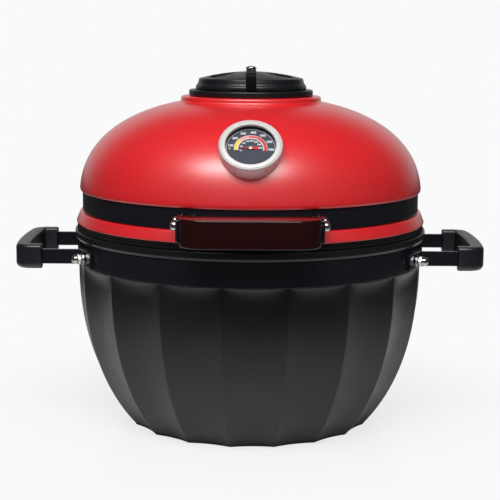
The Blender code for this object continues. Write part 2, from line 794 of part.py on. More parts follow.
def make_draft(pivot):
    """The rear air inlet: a curved channel frame with a sleeve through the wall, and its door."""
    back_r = bowl_radius(DRAFT_Z + DRAFT_H) + DRAFT_STAND
    door_r = back_r + DRAFT_SHEET + GAP
    lip_r = door_r + DRAFT_SHEET + GAP
    outer_r = lip_r + DRAFT_SHEET
    top = DRAFT_Z + DRAFT_H
    floor_z = DRAFT_Z + DRAFT_SHEET
    roof_z = top - DRAFT_SHEET
    frame = prism("draft_frame", sector(back_r, outer_r, DRAFT_FROM, DRAFT_TO, DRAFT_STEPS), DRAFT_Z, top)
    inside_from = DRAFT_FROM + DRAFT_STOP
    inside_to = DRAFT_TO - DRAFT_STOP
    channel = sector(back_r + DRAFT_SHEET, lip_r, inside_from, inside_to, DRAFT_STEPS)
    open_from = inside_from + DRAFT_STOP / 2
    open_to = inside_to - DRAFT_STOP / 2
    face = sector(lip_r - GAP, outer_r + DRAFT_LIP, open_from, open_to, DRAFT_STEPS)
    half = WINDOW_W / 2
    tall = WINDOW_H / 2
    sleeve_end = bowl_radius(DRAFT_MID_Z, WALL) - SLEEVE_WALL
    wide = half + SLEEVE_WALL
    high = tall + SLEEVE_WALL
    root_r = back_r + DRAFT_SHEET / 2
    turn = math.asin(wide / root_r)
    plan = arc(0, 0, root_r, math.pi / 2 - turn, math.pi / 2 + turn, DRAFT_STEPS)
    plan += [(-wide, sleeve_end), (wide, sleeve_end)]
    join(frame, prism("draft_sleeve", plan, DRAFT_MID_Z - high, DRAFT_MID_Z + high))
    cut(frame, prism("draft_channel", channel, floor_z, roof_z))
    cut(frame, prism("draft_face", face, floor_z + DRAFT_LIP, roof_z - DRAFT_LIP))
    window = box(
        "draft_window",
        (-half, sleeve_end - WALL, DRAFT_MID_Z - tall),
        (half, door_r, DRAFT_MID_Z + tall),
    )
    as_part(cut(frame, window), "bright_steel")

    sheet = sector(door_r, door_r + DRAFT_SHEET, -DOOR_HALF, DOOR_HALF, DRAFT_STEPS)
    door = prism("draft_door", sheet, floor_z + GAP, roof_z - GAP)
    stud = rear_radial(0, door_r, DRAFT_MID_Z)
    cut(door, drills("door_stud_hole", [stud], DOOR_STUD_R + GAP, 2 * DRAFT_SHEET))
    as_part(door, "bright_steel", pivot)

    base = DRAFT_SHEET + GAP
    knob = turned(
        "draft_door_knob",
        [
            (0, base + DOOR_KNOB_L),
            (DOOR_KNOB_R * 0.7, base + DOOR_KNOB_L),
            (DOOR_KNOB_R, base + DOOR_KNOB_L * 0.75),
            (DOOR_KNOB_R * 0.75, base),
            (DOOR_STUD_R, base),
            (DOOR_STUD_R, 0),
            (0, 0),
        ],
        BOLT_STEPS,
        stud,
        closed=False,
    )
    as_part(knob, "black_plastic", pivot)


def petal(azimuth):
    """A petal-shaped outline in plan, narrow towards the centre, at an angle from the front."""
    spread = math.asin((PETAL_OUTER_R - PETAL_INNER_R) / (PETAL_OUTER - PETAL_INNER))
    quarter = math.pi / 2 + spread
    points = arc(PETAL_OUTER, 0, PETAL_OUTER_R, -quarter, quarter, 6)
    points += arc(PETAL_INNER, 0, PETAL_INNER_R, quarter, 2 * math.pi - quarter, 4)
    turn = azimuth - math.pi / 2
    c, s = math.cos(turn), math.sin(turn)
    return [(x * c - y * s, x * s + y * c) for x, y in points]


def cap_height(radius):
    return CAP_CREST_Z - CAP_RISE * (radius / CAP_TOP_R) ** 2


def make_vent(pivot):
    """The cast vent on the lid's collar: a flanged base and a cap with petal openings."""
    spigot_r = CHIMNEY_R - GAP
    bore_r = spigot_r - SPIGOT_WALL
    top = FLANGE_Z + FLANGE_T
    base = turned(
        "vent_base",
        [
            (bore_r, top),
            (FLANGE_R - FLANGE_EDGE, top),
            (FLANGE_R, top - FLANGE_EDGE),
            (FLANGE_R, FLANGE_Z + FLANGE_EDGE),
            (FLANGE_R - FLANGE_EDGE, FLANGE_Z),
            (spigot_r, FLANGE_Z),
            (spigot_r, FLANGE_Z - SPIGOT_L),
            (bore_r, FLANGE_Z - SPIGOT_L),
        ],
        VENT_STEPS,
    )
    as_part(base, "cast_iron", pivot)

    bore = DAMPER_BOLT_R + GAP
    steps = 3
    radii = [bore + (CAP_TOP_R - CAP_WALL - bore) * i / steps for i in range(steps + 1)]
    crown = [(r, cap_height(r)) for r in radii]
    crown.append((CAP_TOP_R, CAP_EDGE_Z))
    skirt = [(CAP_R, CAP_Z + CAP_SKIRT_H * 0.4), (CAP_R, CAP_Z), (CAP_R - CAP_WALL, CAP_Z)]
    under = [(r, cap_height(r) - CAP_WALL) for r in reversed(radii)]
    cap = turned("vent_cap", crown + skirt + under, VENT_STEPS)
    for i in range(PETALS):
        azimuth = math.pi + 2 * math.pi * i / PETALS
        cut(cap, prism(f"cap_petal_{i}", petal(azimuth), CAP_Z, CAP_CREST_Z + CAP_WALL))
    as_part(cap, "cast_iron", pivot)


def make_damper(pivot):
    """What turns in the vent: a disc under the cap, its bolt, and the lever and nut on top."""
    hub_top = cap_height(DAMPER_HUB_R) - CAP_WALL - GAP
    disc_r = CAP_TOP_R - CAP_WALL - DAMPER_PLAY
    disc_z = cap_height(disc_r) - CAP_WALL - GAP - DAMPER_T
    bore = DAMPER_BOLT_R + GAP
    disc = turned(
        "damper_disc",
        [
            (bore, hub_top),
            (DAMPER_HUB_R, hub_top),
            (DAMPER_HUB_R, disc_z + DAMPER_T),
            (disc_r, disc_z + DAMPER_T),
            (disc_r, disc_z),
            (bore, disc_z),
        ],
        VENT_STEPS,
    )
    for i in range(PETALS):
        azimuth = 2 * math.pi * i / PETALS
        cut(disc, prism(f"disc_petal_{i}", petal(azimuth), disc_z - DAMPER_T, disc_z + 2 * DAMPER_T))
    as_part(disc, "cast_iron", pivot)

    lever_top = CAP_CREST_Z + GAP + LEVER_T
    nut_z = lever_top + GAP
    bolt_top = nut_z + ACORN_H / 2
    head_top = disc_z - GAP
    bolt = turned(
        "damper_bolt",
        [
            (0, bolt_top),
            (DAMPER_BOLT_R, bolt_top),
            (DAMPER_BOLT_R, head_top),
            (DAMPER_HEAD_R, head_top),
            (DAMPER_HEAD_R, head_top - DAMPER_HEAD_T),
            (0, head_top - DAMPER_HEAD_T),
        ],
        BOLT_STEPS,
        closed=False,
    )
    as_part(bolt, "bright_steel", pivot)

    tip_y = -(CAP_R + LEVER_STAND + LEVER_T / 2)
    flat_z = lever_top - LEVER_T / 2
    bend_z = flat_z - LEVER_DROP
    corner = arc(tip_y + LEVER_BEND, bend_z - LEVER_BEND, LEVER_BEND, math.pi / 2, math.pi, 3)
    path = [(LEVER_TAIL, flat_z), (-LEVER_TAIL, flat_z)] + corner + [(tip_y, CAP_Z + GAP)]
    lever = prism("damper_lever", ribbon(path, LEVER_T), -LEVER_W / 2, LEVER_W / 2, across())
    middle = aimed((0, 0, flat_z), Z_AXIS)
    cut(lever, drills("lever_hole", [middle], bore, 2 * LEVER_T))
    as_part(lever, "cast_iron", pivot)

    nut = turned(
        "damper_nut",
        [
            (0, nut_z + ACORN_H),
            (ACORN_R * 0.6, nut_z + ACORN_H * 0.8),
            (ACORN_R, nut_z + ACORN_H * 0.4),
            (ACORN_R, nut_z),
            (bore, nut_z),
            (bore, bolt_top + GAP),
            (0, bolt_top + GAP),
        ],
        BOLT_STEPS,
        closed=False,
    )
    as_part(nut, "bright_steel", pivot)


def thermometer_place():
    """The thermometer's axis where it meets the dome."""
    out = Vector((0, -math.cos(THERMO_TILT), math.sin(THERMO_TILT)))
    return aimed(Vector((0, -THERMO_R, dome_height(THERMO_R))), out)


def make_thermometer(pivot):
    """Dial thermometer on the lid: case, bezel, glass, dial, and the stem with its inner nut."""
    face = thermometer_place()
    bore = CASE_R - CASE_WALL
    case_floor = CASE_BACK + CASE_WALL
    case = turned(
        "thermometer_case",
        [
            (0, case_floor),
            (bore, case_floor),
            (bore, CASE_TOP),
            (CASE_R, CASE_TOP),
            (CASE_R, CASE_BACK),
            (0, CASE_BACK),
        ],
        SMALL_STEPS,
        face,
        closed=False,
    )
    cut(case, drills("case_hole", [face], STEM_BUSH_R + GAP, 3 * CASE_WALL))
    as_part(case, "chrome", pivot)

    bezel_z = CASE_TOP + GAP
    bezel = turned(
        "thermometer_bezel",
        [
            (BEZEL_OPEN_R, bezel_z + BEZEL_T - BEZEL_EDGE),
            (BEZEL_OPEN_R + BEZEL_EDGE, bezel_z + BEZEL_T),
            *rim_edge(CASE_R, bezel_z + BEZEL_T, 2 * BEZEL_EDGE),
            (CASE_R, bezel_z),
            (BEZEL_OPEN_R, bezel_z),
        ],
        VENT_STEPS,
        face,
    )
    as_part(bezel, "chrome", pivot)

    facet = math.cos(math.pi / SMALL_STEPS)
    disc_r = bore * facet - GAP
    glass = turned(
        "thermometer_glass",
        [(0, CASE_TOP), (disc_r, CASE_TOP), (disc_r, CASE_TOP - GLASS_T), (0, CASE_TOP - GLASS_T)],
        SMALL_STEPS,
        face,
        closed=False,
    )
    as_part(glass, "clear_glass", pivot)

    dial_back = DIAL_TOP - DIAL_T
    dial = turned(
        "thermometer_dial",
        [(0, DIAL_TOP), (disc_r, DIAL_TOP), (disc_r, dial_back), (0, dial_back)],
        SMALL_STEPS,
        face,
        closed=False,
    )
    pin_place = face @ Matrix.Translation((0, 0, DIAL_TOP))
    cut(dial, drills("dial_hole", [pin_place], POINTER_PIN_R + GAP, 2 * DIAL_T))
    as_part(dial, "dial_black", pivot)

    stem_top = dial_back - GAP
    nut_top = -(WALL - NUT_SEAT) - GAP
    bush_end = nut_top - 2 * STEM_NUT_T
    stem_end = -(WALL + STEM_REACH)
    stem = turned(
        "thermometer_stem",
        [
            (0, stem_top),
            (STEM_BUSH_R, stem_top),
            (STEM_BUSH_R, bush_end),
            (STEM_R, bush_end),
            (STEM_R, stem_end + STEM_R),
            (0, stem_end),
        ],
        BOLT_STEPS,
        face,
        closed=False,
    )
    as_part(stem, "bright_steel", pivot)

    seat = face @ Matrix.Translation((0, 0, nut_top - STEM_NUT_T))
    nut = hex_nut("thermometer_nut", seat, STEM_NUT_R, STEM_NUT_T, STEM_BUSH_R + GAP)
    as_part(nut, "bright_steel", pivot)


def make_pointer(pivot):
    """The thermometer's needle with its hub and the pin through the dial, pointing left."""
    place = thermometer_place()
    low = DIAL_TOP + POINTER_LIFT
    high = low + POINTER_T
    hub = turned(
        "thermometer_pointer",
        [
            (0, high + POINTER_T),
            (POINTER_HUB_R, high + POINTER_T),
            (POINTER_HUB_R, low - POINTER_T),
            (POINTER_PIN_R, low - POINTER_T),
            (POINTER_PIN_R, DIAL_TOP - DIAL_T),
            (0, DIAL_TOP - DIAL_T),
        ],
        BOLT_STEPS,
        place,
        closed=False,
    )
    needle = [
        (-POINTER_L, 0),
        (0, POINTER_W / 2),
        (POINTER_TAIL, POINTER_W),
        (POINTER_TAIL, -POINTER_W),
        (0, -POINTER_W / 2),
    ]
    as_part(join(hub, prism("pointer_needle", needle, low, high, place)), "pointer_red", pivot)


def hex_nut(name, place, radius, height, hole_r):
    """A hexagonal nut standing on its place, with a round hole through it."""
    nut = turned(name, [(0, height), (radius, height), (radius, 0), (0, 0)], 6, place, closed=False)
    nut.modifiers["Turn"].use_smooth_shade = False
    return cut(nut, drills(f"{name}_hole", [place], hole_r, 2 * height))


def acorn_bolt(name, place, length, radius, finish_name, pivot):
    """A bolt with a domed head: the head stands on the place, and its shank runs into it."""
    bolt = turned(
        name,
        [
            (0, 2 * radius),
            (radius, 1.7 * radius),
            (1.7 * radius, 0.8 * radius),
            (1.7 * radius, GAP),
            (radius, GAP),
            (radius, -length),
            (0, -length),
        ],
        BOLT_STEPS,
        place,
        closed=False,
    )
    return as_part(bolt, finish_name, pivot)


def make_lid_handle(pivot):
    """The bar across the front of the lid, its two lugs and their fasteners."""
    corner_x = HANDLE_HALF - HANDLE_FLAT
    corner_y = HANDLE_DEPTH - HANDLE_END_DEPTH
    middle_y = HANDLE_FRONT_Y + corner_y
    turn = math.pi / 2
    front_left = arc(-HANDLE_FLAT, middle_y, corner_x, -2 * turn, -turn, 6, corner_y)
    front_right = arc(HANDLE_FLAT, middle_y, corner_x, -turn, 0, 6, corner_y)
    outline = front_left + front_right + [(HANDLE_HALF, HANDLE_BACK_Y), (-HANDLE_HALF, HANDLE_BACK_Y)]
    bar = prism("lid_handle", outline, HANDLE_Z, HANDLE_Z + HANDLE_H)
    bevel = bar.modifiers.new("Edges", "BEVEL")
    bevel.width = HANDLE_EDGE
    bevel.segments = 2
    bevel.limit_method = "ANGLE"
    bevel.angle_limit = math.radians(40)
    as_part(bar, "dark_lacquer", pivot)

    front_y = HANDLE_FRONT_Y + corner_y
    back_y = LUG_EAR_BACK_Y - LUG_T
    step_y = -LID_LIP_R - LUG_INSET
    low = HANDLE_Z + LUG_INSET
    lug_outline = [
        (front_y, low),
        (front_y, LUG_TOP_Z),
        (back_y, LUG_TOP_Z),
        (back_y, LUG_TOP_Z - LUG_FOOT_H),
        (step_y + LUG_FOOT_H / 2, LUG_TOP_Z - LUG_FOOT_H),
        (step_y, low),
    ]
    inner_x = LUG_X - LUG_T / 2
    outer_x = LUG_X + LUG_T / 2
    for side, sign in (("left", -1), ("right", 1)):
        out = X_AXIS * sign
        lug = prism(f"lid_handle_lug_{side}", lug_outline, -LUG_T / 2, LUG_T / 2, across(sign * LUG_X))
        front = aimed((sign * outer_x, LUG_FRONT_BOLT_Y, LUG_BOLT_Z), out, Z_AXIS)
        rear = aimed((sign * outer_x, LUG_REAR_BOLT_Y, LUG_BOLT_Z), out, Z_AXIS)
        cut(lug, drills(f"lug_holes_{side}", [front, rear], LUG_BOLT_R + GAP, 2 * LUG_T))
        as_part(lug, "black_steel", pivot)
        reach = HANDLE_BOLT_L + LUG_T + 2 * GAP
        cut(bar, drills(f"bar_hole_{side}", [front], LUG_BOLT_R + GAP, reach))
        acorn_bolt(f"lid_handle_screw_{side}", front, reach - 2 * GAP, LUG_BOLT_R, "bright_steel", pivot)
        nut_t = 2 * LUG_BOLT_R
        grip = 2 * LUG_T + nut_t + GAP
        acorn_bolt(f"lug_bolt_{side}", rear, grip, LUG_BOLT_R, "bright_steel", pivot)
        nut_place = aimed((sign * (LUG_EAR_X - LUG_T / 2 - GAP), LUG_REAR_BOLT_Y, LUG_BOLT_Z), -out, Z_AXIS)
        nut = hex_nut(f"lug_nut_{side}", nut_place, 2 * LUG_BOLT_R, nut_t, LUG_BOLT_R + GAP)
        as_part(nut, "bright_steel", pivot)


def strap_path(start):
    """Half of a side handle's path in plan, from these first points to the outer cross-bar."""
    bend = arc(STRAP_X - STRAP_BEND, STRAP_BEND - STRAP_ARM_Y, STRAP_BEND, -math.pi / 2, 0, 4)
    half = start + bend
    return half + [(x, -y) for x, y in reversed(half)]


def make_side_handles():
    """Two U-shaped steel straps bolted to the base band, each with a plastic grip over its end."""
    arm_angle = math.asin(STRAP_ARM_Y / STRAP_FOOT_R)
    foot = arc(0, 0, STRAP_FOOT_R, -FOOT_END, -arm_angle, 5)
    leg_x = STRAP_X + GRIP_W / 2 - GRIP_LEG
    low = STRAP_Z - STRAP_H / 2
    high = STRAP_Z + STRAP_H / 2
    strap = ribbon(strap_path(foot), STRAP_T)
    grip = ribbon(strap_path([(leg_x, -STRAP_ARM_Y)]), GRIP_W)
    tunnel = ribbon(strap_path([(leg_x - GRIP_W, -STRAP_ARM_Y)]), STRAP_T + 2 * GAP)
    places = stud_places(BASE_BAND_R)
    for side, sign in (("left", -1), ("right", 1)):
        piece = prism(f"side_strap_{side}", mirrored(strap, sign), low, high)
        ends = [place for name, place in places.items() if name.startswith(side)]
        cut(piece, drills(f"strap_holes_{side}", ends, STUD_R + GAP, 3 * STRAP_T))
        as_part(piece, "black_steel")
        cover = prism(f"side_grip_{side}", mirrored(grip, sign), STRAP_Z - GRIP_H / 2, STRAP_Z + GRIP_H / 2)
        bevel = cover.modifiers.new("Edges", "BEVEL")
        bevel.width = GRIP_EDGE
        bevel.segments = 2
        bevel.limit_method = "ANGLE"
        bevel.angle_limit = math.radians(40)
        cut(cover, prism(f"grip_tunnel_{side}", mirrored(tunnel, sign), low - GAP, high + GAP))
        as_part(cover, "black_plastic")
    for name, place in places.items():
        make_stud_and_nut(name, place)


def make_stud_and_nut(name, place):
    """A stud through the band and the strap's foot, with a domed flange nut on it."""
    foot_face = 2 * GAP + STRAP_T
    end = foot_face + STUD_L
    stud = turned(
        f"side_stud_{name}",
        [(0, end), (STUD_R, end), (STUD_R, -BAND_T), (0, -BAND_T)],
        BOLT_STEPS,
        place,
        closed=False,
    )
    as_part(stud, "bright_steel")
    flange_t = STUD_R / 2
    hex_top = foot_face + 2.2 * STUD_R
    nut = turned(
        f"side_nut_{name}",
        [
            (0, end + STUD_R),
            (STUD_R, end + 0.7 * STUD_R),
            (1.4 * STUD_R, hex_top),
            (1.85 * STUD_R, hex_top - GAP),
            (1.85 * STUD_R, foot_face + flange_t),
            (2.2 * STUD_R, foot_face + flange_t),
            (2.2 * STUD_R, foot_face),
            (STUD_R + GAP, foot_face),
            (STUD_R + GAP, end + GAP),
            (0, end + GAP),
        ],
        BOLT_STEPS,
        place,
        closed=False,
    )
    as_part(nut, "bright_steel")


def hinge_bolt(name, place, pivot=None):
    """A bolt through a hinge bracket and the band under it."""
    plate = GAP + BRACKET_T
    bolt = turned(
        name,
        [
            (0, plate + HINGE_BOLT_HEAD_T),
            (HINGE_BOLT_HEAD_R * 0.8, plate + HINGE_BOLT_HEAD_T),
            (HINGE_BOLT_HEAD_R, plate + HINGE_BOLT_HEAD_T * 0.6),
            (HINGE_BOLT_HEAD_R, plate + GAP),
            (HINGE_BOLT_R, plate + GAP),
            (HINGE_BOLT_R, -BAND_T + GAP),
            (0, -BAND_T + GAP),
        ],
        BOLT_STEPS,
        place,
        closed=False,
    )
    return as_part(bolt, "bright_steel", pivot)


def hinge_bracket(name, band_r, low, high, ear_outline, ear_x, bolt_z, pivot=None):
    """A curved plate on a band with two ears that take the hinge pin, cut for pin and bolts."""
    inner = band_r + GAP
    plate = sector(inner, inner + BRACKET_T, -BRACKET_HALF, BRACKET_HALF, DRAFT_STEPS)
    obj = prism(name, plate, low + BRACKET_INSET, high - BRACKET_INSET)
    for side, sign in (("left", -1), ("right", 1)):
        ear = prism(f"{name}_ear_{side}", ear_outline, -EAR_T / 2, EAR_T / 2, across(sign * ear_x))
        join(obj, ear)
    pin = aimed((0, HINGE_Y, HINGE_Z), X_AXIS, Y_AXIS)
    cut(obj, drills(f"{name}_pin_hole", [pin], PIN_R + GAP, BASE_EAR_X + 2 * EAR_T))
    places = hinge_bolt_places(band_r, bolt_z)
    cut(obj, drills(f"{name}_bolt_holes", list(places.values()), HINGE_BOLT_R + GAP, 3 * BRACKET_T))
    as_part(obj, "black_steel", pivot)
    for side, place in places.items():
        hinge_bolt(f"{name.replace('bracket', 'bolt')}_{side}", place, pivot)


def make_hinge(pivot):
    """The rear hinge: a bracket on each band, and the pin that stays with the base."""
    base_low = BASE_BAND_Z + 2 * BRACKET_INSET
    base_high = BASE_BAND_Z + BASE_BAND_H - 2 * BRACKET_INSET
    base_root = math.sqrt((BASE_BAND_R + GAP + BRACKET_T) ** 2 - BASE_EAR_X**2) - BRACKET_T / 2
    clear_y = WIDEST_R + BRACKET_INSET
    half = math.pi / 2
    base_ear = [(base_root, base_low), (base_root, base_high), (clear_y, BASE_GROOVE_TOP)]
    base_ear += arc(HINGE_Y, HINGE_Z, EAR_R, 1.75 * half, -0.7 * half, 7)
    base_ear.append((clear_y + BRACKET_T, base_low))
    hinge_bracket(
        "hinge_base_bracket",
        BASE_BAND_R,
        BASE_BAND_Z,
        BASE_BAND_Z + BASE_BAND_H,
        base_ear,
        BASE_EAR_X,
        BASE_HINGE_BOLT_Z,
    )
    lid_low = LID_BAND_Z + 2 * BRACKET_INSET
    lid_high = LID_BAND_Z + LID_BAND_H - 2 * BRACKET_INSET
    lid_root = math.sqrt((LID_BAND_R + GAP + BRACKET_T) ** 2 - LID_EAR_X**2) - BRACKET_T / 2
    lid_ear = [(lid_root, lid_low), (lid_root, lid_high), (clear_y + BRACKET_T, lid_high)]
    lid_ear += arc(HINGE_Y, HINGE_Z, EAR_R, 0.6 * half, -1.7 * half, 7)
    lid_ear += [(clear_y, LID_GROOVE_Z - LID_LIP_H / 2), (clear_y, lid_low)]
    hinge_bracket(
        "hinge_lid_bracket",
        LID_BAND_R,
        LID_BAND_Z,
        LID_BAND_Z + LID_BAND_H,
        lid_ear,
        LID_EAR_X,
        LID_HINGE_BOLT_Z,
        pivot,
    )
    end = BASE_EAR_X + EAR_T / 2 + GAP
    tail = end + GAP + PIN_HEAD_T
    pin_place = aimed((0, HINGE_Y, HINGE_Z), X_AXIS, Y_AXIS)
    pin = turned(
        "hinge_pin",
        [
            (0, tail),
            (PIN_R, tail),
            (PIN_R, -end),
            (PIN_HEAD_R, -end),
            (PIN_HEAD_R, -end - PIN_HEAD_T),
            (0, -end - PIN_HEAD_T),
        ],
        BOLT_STEPS,
        pin_place,
        closed=False,
    )
    as_part(pin, "bright_steel")
    clip = ring("hinge_pin_clip", PIN_R + GAP, PIN_HEAD_R, end, end + PIN_HEAD_T, BOLT_STEPS)
    clip.matrix_basis = pin_place
    as_part(clip, "bright_steel")


def joint_pivot(name, place):
    """An empty on a joint's axis, which the pieces of one moving body are parented to."""
    pivot = bpy.data.objects.new(name, None)
    bpy.data.collections["kamado_grill"].objects.link(pivot)
    pivot.location = place
    return pivot


def main():
    clear_scene()
    collection("kamado_grill")
    collection("cutters")
    lid_pivot = joint_pivot("lid_pivot", (0, HINGE_Y, HINGE_Z))
    damper_pivot = joint_pivot("damper_pivot", (0, 0, CAP_CREST_Z))
    pointer_pivot = joint_pivot("pointer_pivot", thermometer_place().translation)
    draft_pivot = joint_pivot("draft_pivot", (0, 0, DRAFT_MID_Z))
    make_base_bowl()
    make_base_band()
    make_gaskets(lid_pivot)
    make_fire_parts()
    make_draft(draft_pivot)
    make_side_handles()
    make_hinge(lid_pivot)
    make_lid_dome(lid_pivot)
    make_lid_band(lid_pivot)
    make_lid_handle(lid_pivot)
    make_vent(lid_pivot)
    make_thermometer(lid_pivot)
    make_damper(damper_pivot)
    make_pointer(pointer_pivot)


main()
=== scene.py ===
"""Looks of a tabletop kamado grill, made around its packed solids and laid out as a Blender add-on.

Metres, +Z up. The origin is the centre of the bowl's flat foot, and the front faces -Y.
"""

import math

import bmesh
import bpy
from bpy.props import FloatProperty, FloatVectorProperty, IntProperty, PointerProperty
from mathutils import Matrix, Vector


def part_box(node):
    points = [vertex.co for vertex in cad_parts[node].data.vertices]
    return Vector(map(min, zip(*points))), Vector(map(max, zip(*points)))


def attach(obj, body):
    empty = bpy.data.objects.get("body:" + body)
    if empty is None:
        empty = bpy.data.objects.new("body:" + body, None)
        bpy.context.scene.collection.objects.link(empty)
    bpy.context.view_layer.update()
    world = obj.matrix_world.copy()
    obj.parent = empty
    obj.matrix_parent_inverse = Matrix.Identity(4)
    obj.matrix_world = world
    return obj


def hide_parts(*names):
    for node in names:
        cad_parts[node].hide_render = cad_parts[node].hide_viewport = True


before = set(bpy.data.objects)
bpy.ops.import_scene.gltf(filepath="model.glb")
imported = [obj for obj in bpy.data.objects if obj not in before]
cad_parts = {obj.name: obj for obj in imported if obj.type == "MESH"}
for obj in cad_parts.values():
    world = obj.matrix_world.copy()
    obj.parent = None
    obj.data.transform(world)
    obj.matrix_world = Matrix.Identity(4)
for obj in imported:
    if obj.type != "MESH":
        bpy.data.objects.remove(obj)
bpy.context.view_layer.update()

bl_info = {
    "name": "Kamado Grill",
    "version": (1, 0, 0),
    "blender": (4, 5, 0),
    "location": "View3D > Sidebar > Kamado",
    "description": "Makes the visible pieces of a kamado grill around its packed solids",
    "category": "Object",
}

TURN = 2 * math.pi
X_AXIS = Vector((1, 0, 0))
Y_AXIS = Vector((0, 1, 0))
Z_AXIS = Vector((0, 0, 1))
MERGE = 1e-6
SMOOTH = math.radians(34)
GAP = 0.0003
SIDES = (("left", -1), ("right", 1))
# A placement for flat outlines that are given as (y, z), with their thickness along X.
ACROSS = Matrix(((0, 0, 1, 0), (1, 0, 0, 0), (0, 1, 0, 0), (0, 0, 0, 1)))


def linear(*levels):
    """A colour given as it looks on a screen, 0 to 255, in linear values."""
    return tuple((v / 255 / 12.92) if v < 11 else ((v / 255 + 0.055) / 1.055) ** 2.4 for v in levels)


def length(name, default, description):
    return FloatProperty(
        name=name, description=description, default=default, min=0, precision=4, unit="LENGTH"
    )


def angle(name, degrees, description):
    return FloatProperty(name=name, description=description, default=math.radians(degrees), subtype="ANGLE")


def number(name, default, description):
    return FloatProperty(name=name, description=description, default=default)


def count(name, default, description):
    return IntProperty(name=name, description=description, default=default, min=1)


def colour(name, default, description):
    return FloatVectorProperty(
        name=name, description=description, default=linear(*default), size=3, min=0, max=1, subtype="COLOR"
    )


class KamadoBowl(bpy.types.PropertyGroup):
    """Sizes of the fluted bowl."""

    radius: length("Radius", 0.1725, "Widest outer radius")
    widest: length("Widest height", 0.155, "Height of the widest place")
    drop: length("Drop", 0.206, "Depth at which the curve would close")
    power: number("Roundness", 2.15, "Power of the outer curve")
    wall: length("Wall", 0.0195, "Wall thickness")
    floor: length("Floor", 0.020, "Floor thickness")
    foot_edge: length("Foot edge", 0.0015, "Rounding of the foot")
    shoulder: length("Shoulder", 0.1623, "Height where the flutes end")
    flutes: count("Flutes", 18, "Number of flutes")
    flute_depth: length("Flute depth", 0.0055, "Depth of a flute under its upper end")
    foot_depth: length("Foot depth", 0.0044, "Depth of a flute at the foot")
    scoop: length("Scoop", 0.016, "Length of a flute's rounded upper end")
    flute_turn: angle("Flute turn", 1.6, "Turn of the ridges from the side")
    ridge: number("Ridge softness", 0.03, "Share of a flute over which its ridge is rounded")
    groove: length("Groove radius", 0.170, "Radius of the groove for the band")
    groove_top: length("Groove top", 0.1866, "Upper end of the groove")
    lip: length("Lip radius", 0.175, "Outer radius of the rim lip")
    rim: length("Rim height", 0.195, "Height of the rim")
    lip_edge: length("Lip edge", 0.0012, "Rounding of the rim lip")
    chamfer: length("Chamfer", 0.0026, "Height of the chamfer under the rim")
    inlet_half: length("Inlet half width", 0.0273, "Half the width of the air inlet")
    inlet_low: length("Inlet height", 0.0247, "Lower side of the air inlet")
    inlet_top: length("Inlet top", 0.0553, "Upper side of the air inlet")


class KamadoLid(bpy.types.PropertyGroup):
    """Sizes of the domed lid."""

    radius: length("Radius", 0.1705, "Radius of the dome's curve")
    foot: length("Dome foot", 0.224, "Height where the dome's curve starts")
    rise: length("Rise", 0.1018, "Height of the dome's curve")
    power: number("Roundness", 2.37, "Power of the dome's curve")
    wall: length("Wall", 0.0178, "Wall thickness")
    edge: length("Edge", 0.0038, "Rounding of the dome's lower edge")
    rim: length("Rim height", 0.2017, "Height of the lid's rim")
    lip: length("Lip radius", 0.1738, "Radius of the lip at the rim")
    lip_top: length("Lip top radius", 0.170, "Radius of the lip under the band")
    groove: length("Groove radius", 0.1652, "Radius of the groove for the band")
    groove_low: length("Groove low", 0.2127, "Lower end of the groove")
    groove_top: length("Groove top", 0.2328, "Upper end of the groove")
    collar: length("Collar radius", 0.0695, "Radius of the collar round the chimney")
    collar_top: length("Collar top", 0.326, "Height of the collar")
    collar_foot: length("Collar foot", 0.008, "Width of the hollow at the collar's foot")
    chimney: length("Chimney radius", 0.040, "Radius of the chimney hole")


class KamadoBands(bpy.types.PropertyGroup):
    """Sizes of the steel bands and the felt."""

    thick: length("Thickness", 0.002, "Thickness of a band")
    split: length("Split", 0.004, "Gap at the rear of a band")
    edge: length("Edge", 0.0006, "Rounding of a band's edges")
    base_radius: length("Base radius", 0.1729, "Outer radius of the base band")
    base_low: length("Base height", 0.1626, "Lower edge of the base band")
    base_tall: length("Base width", 0.0237, "Width of the base band")
    lid_radius: length("Lid radius", 0.1675, "Outer radius of the lid band")
    lid_low: length("Lid height", 0.2130, "Lower edge of the lid band")
    lid_tall: length("Lid width", 0.0195, "Width of the lid band")
    ear_inside: length("Ear place", 0.0595, "Distance of an ear's inner side from the middle")
    ear_thick: length("Ear thickness", 0.0025, "Thickness of an ear of the lid band")
    ear_front: length("Ear front", 0.17253, "Distance of an ear's front from the axis")
    ear_back: length("Ear back", 0.15453, "Distance of an ear's back from the axis")
    ear_low: length("Ear height", 0.2148, "Lower side of an ear")
    ear_top: length("Ear top", 0.2295, "Upper side of an ear")
    hinge_turn: angle("Hinge turn", 10.3, "Turn of the hinge's bolts from the rear")
    felt_inner: length("Felt inner radius", 0.155, "Inner radius of the felt")
    felt_outer: length("Felt outer radius", 0.1728, "Outer radius of the felt")
    felt_thick: length("Felt thickness", 0.0029, "Thickness of one felt ring")
    felt_base: length("Base felt height", 0.1953, "Under side of the felt on the bowl")
    felt_lid: length("Lid felt height", 0.1985, "Under side of the felt on the lid")
    felt_rough: length("Felt unevenness", 0.0003, "How far the felt's surface wanders")


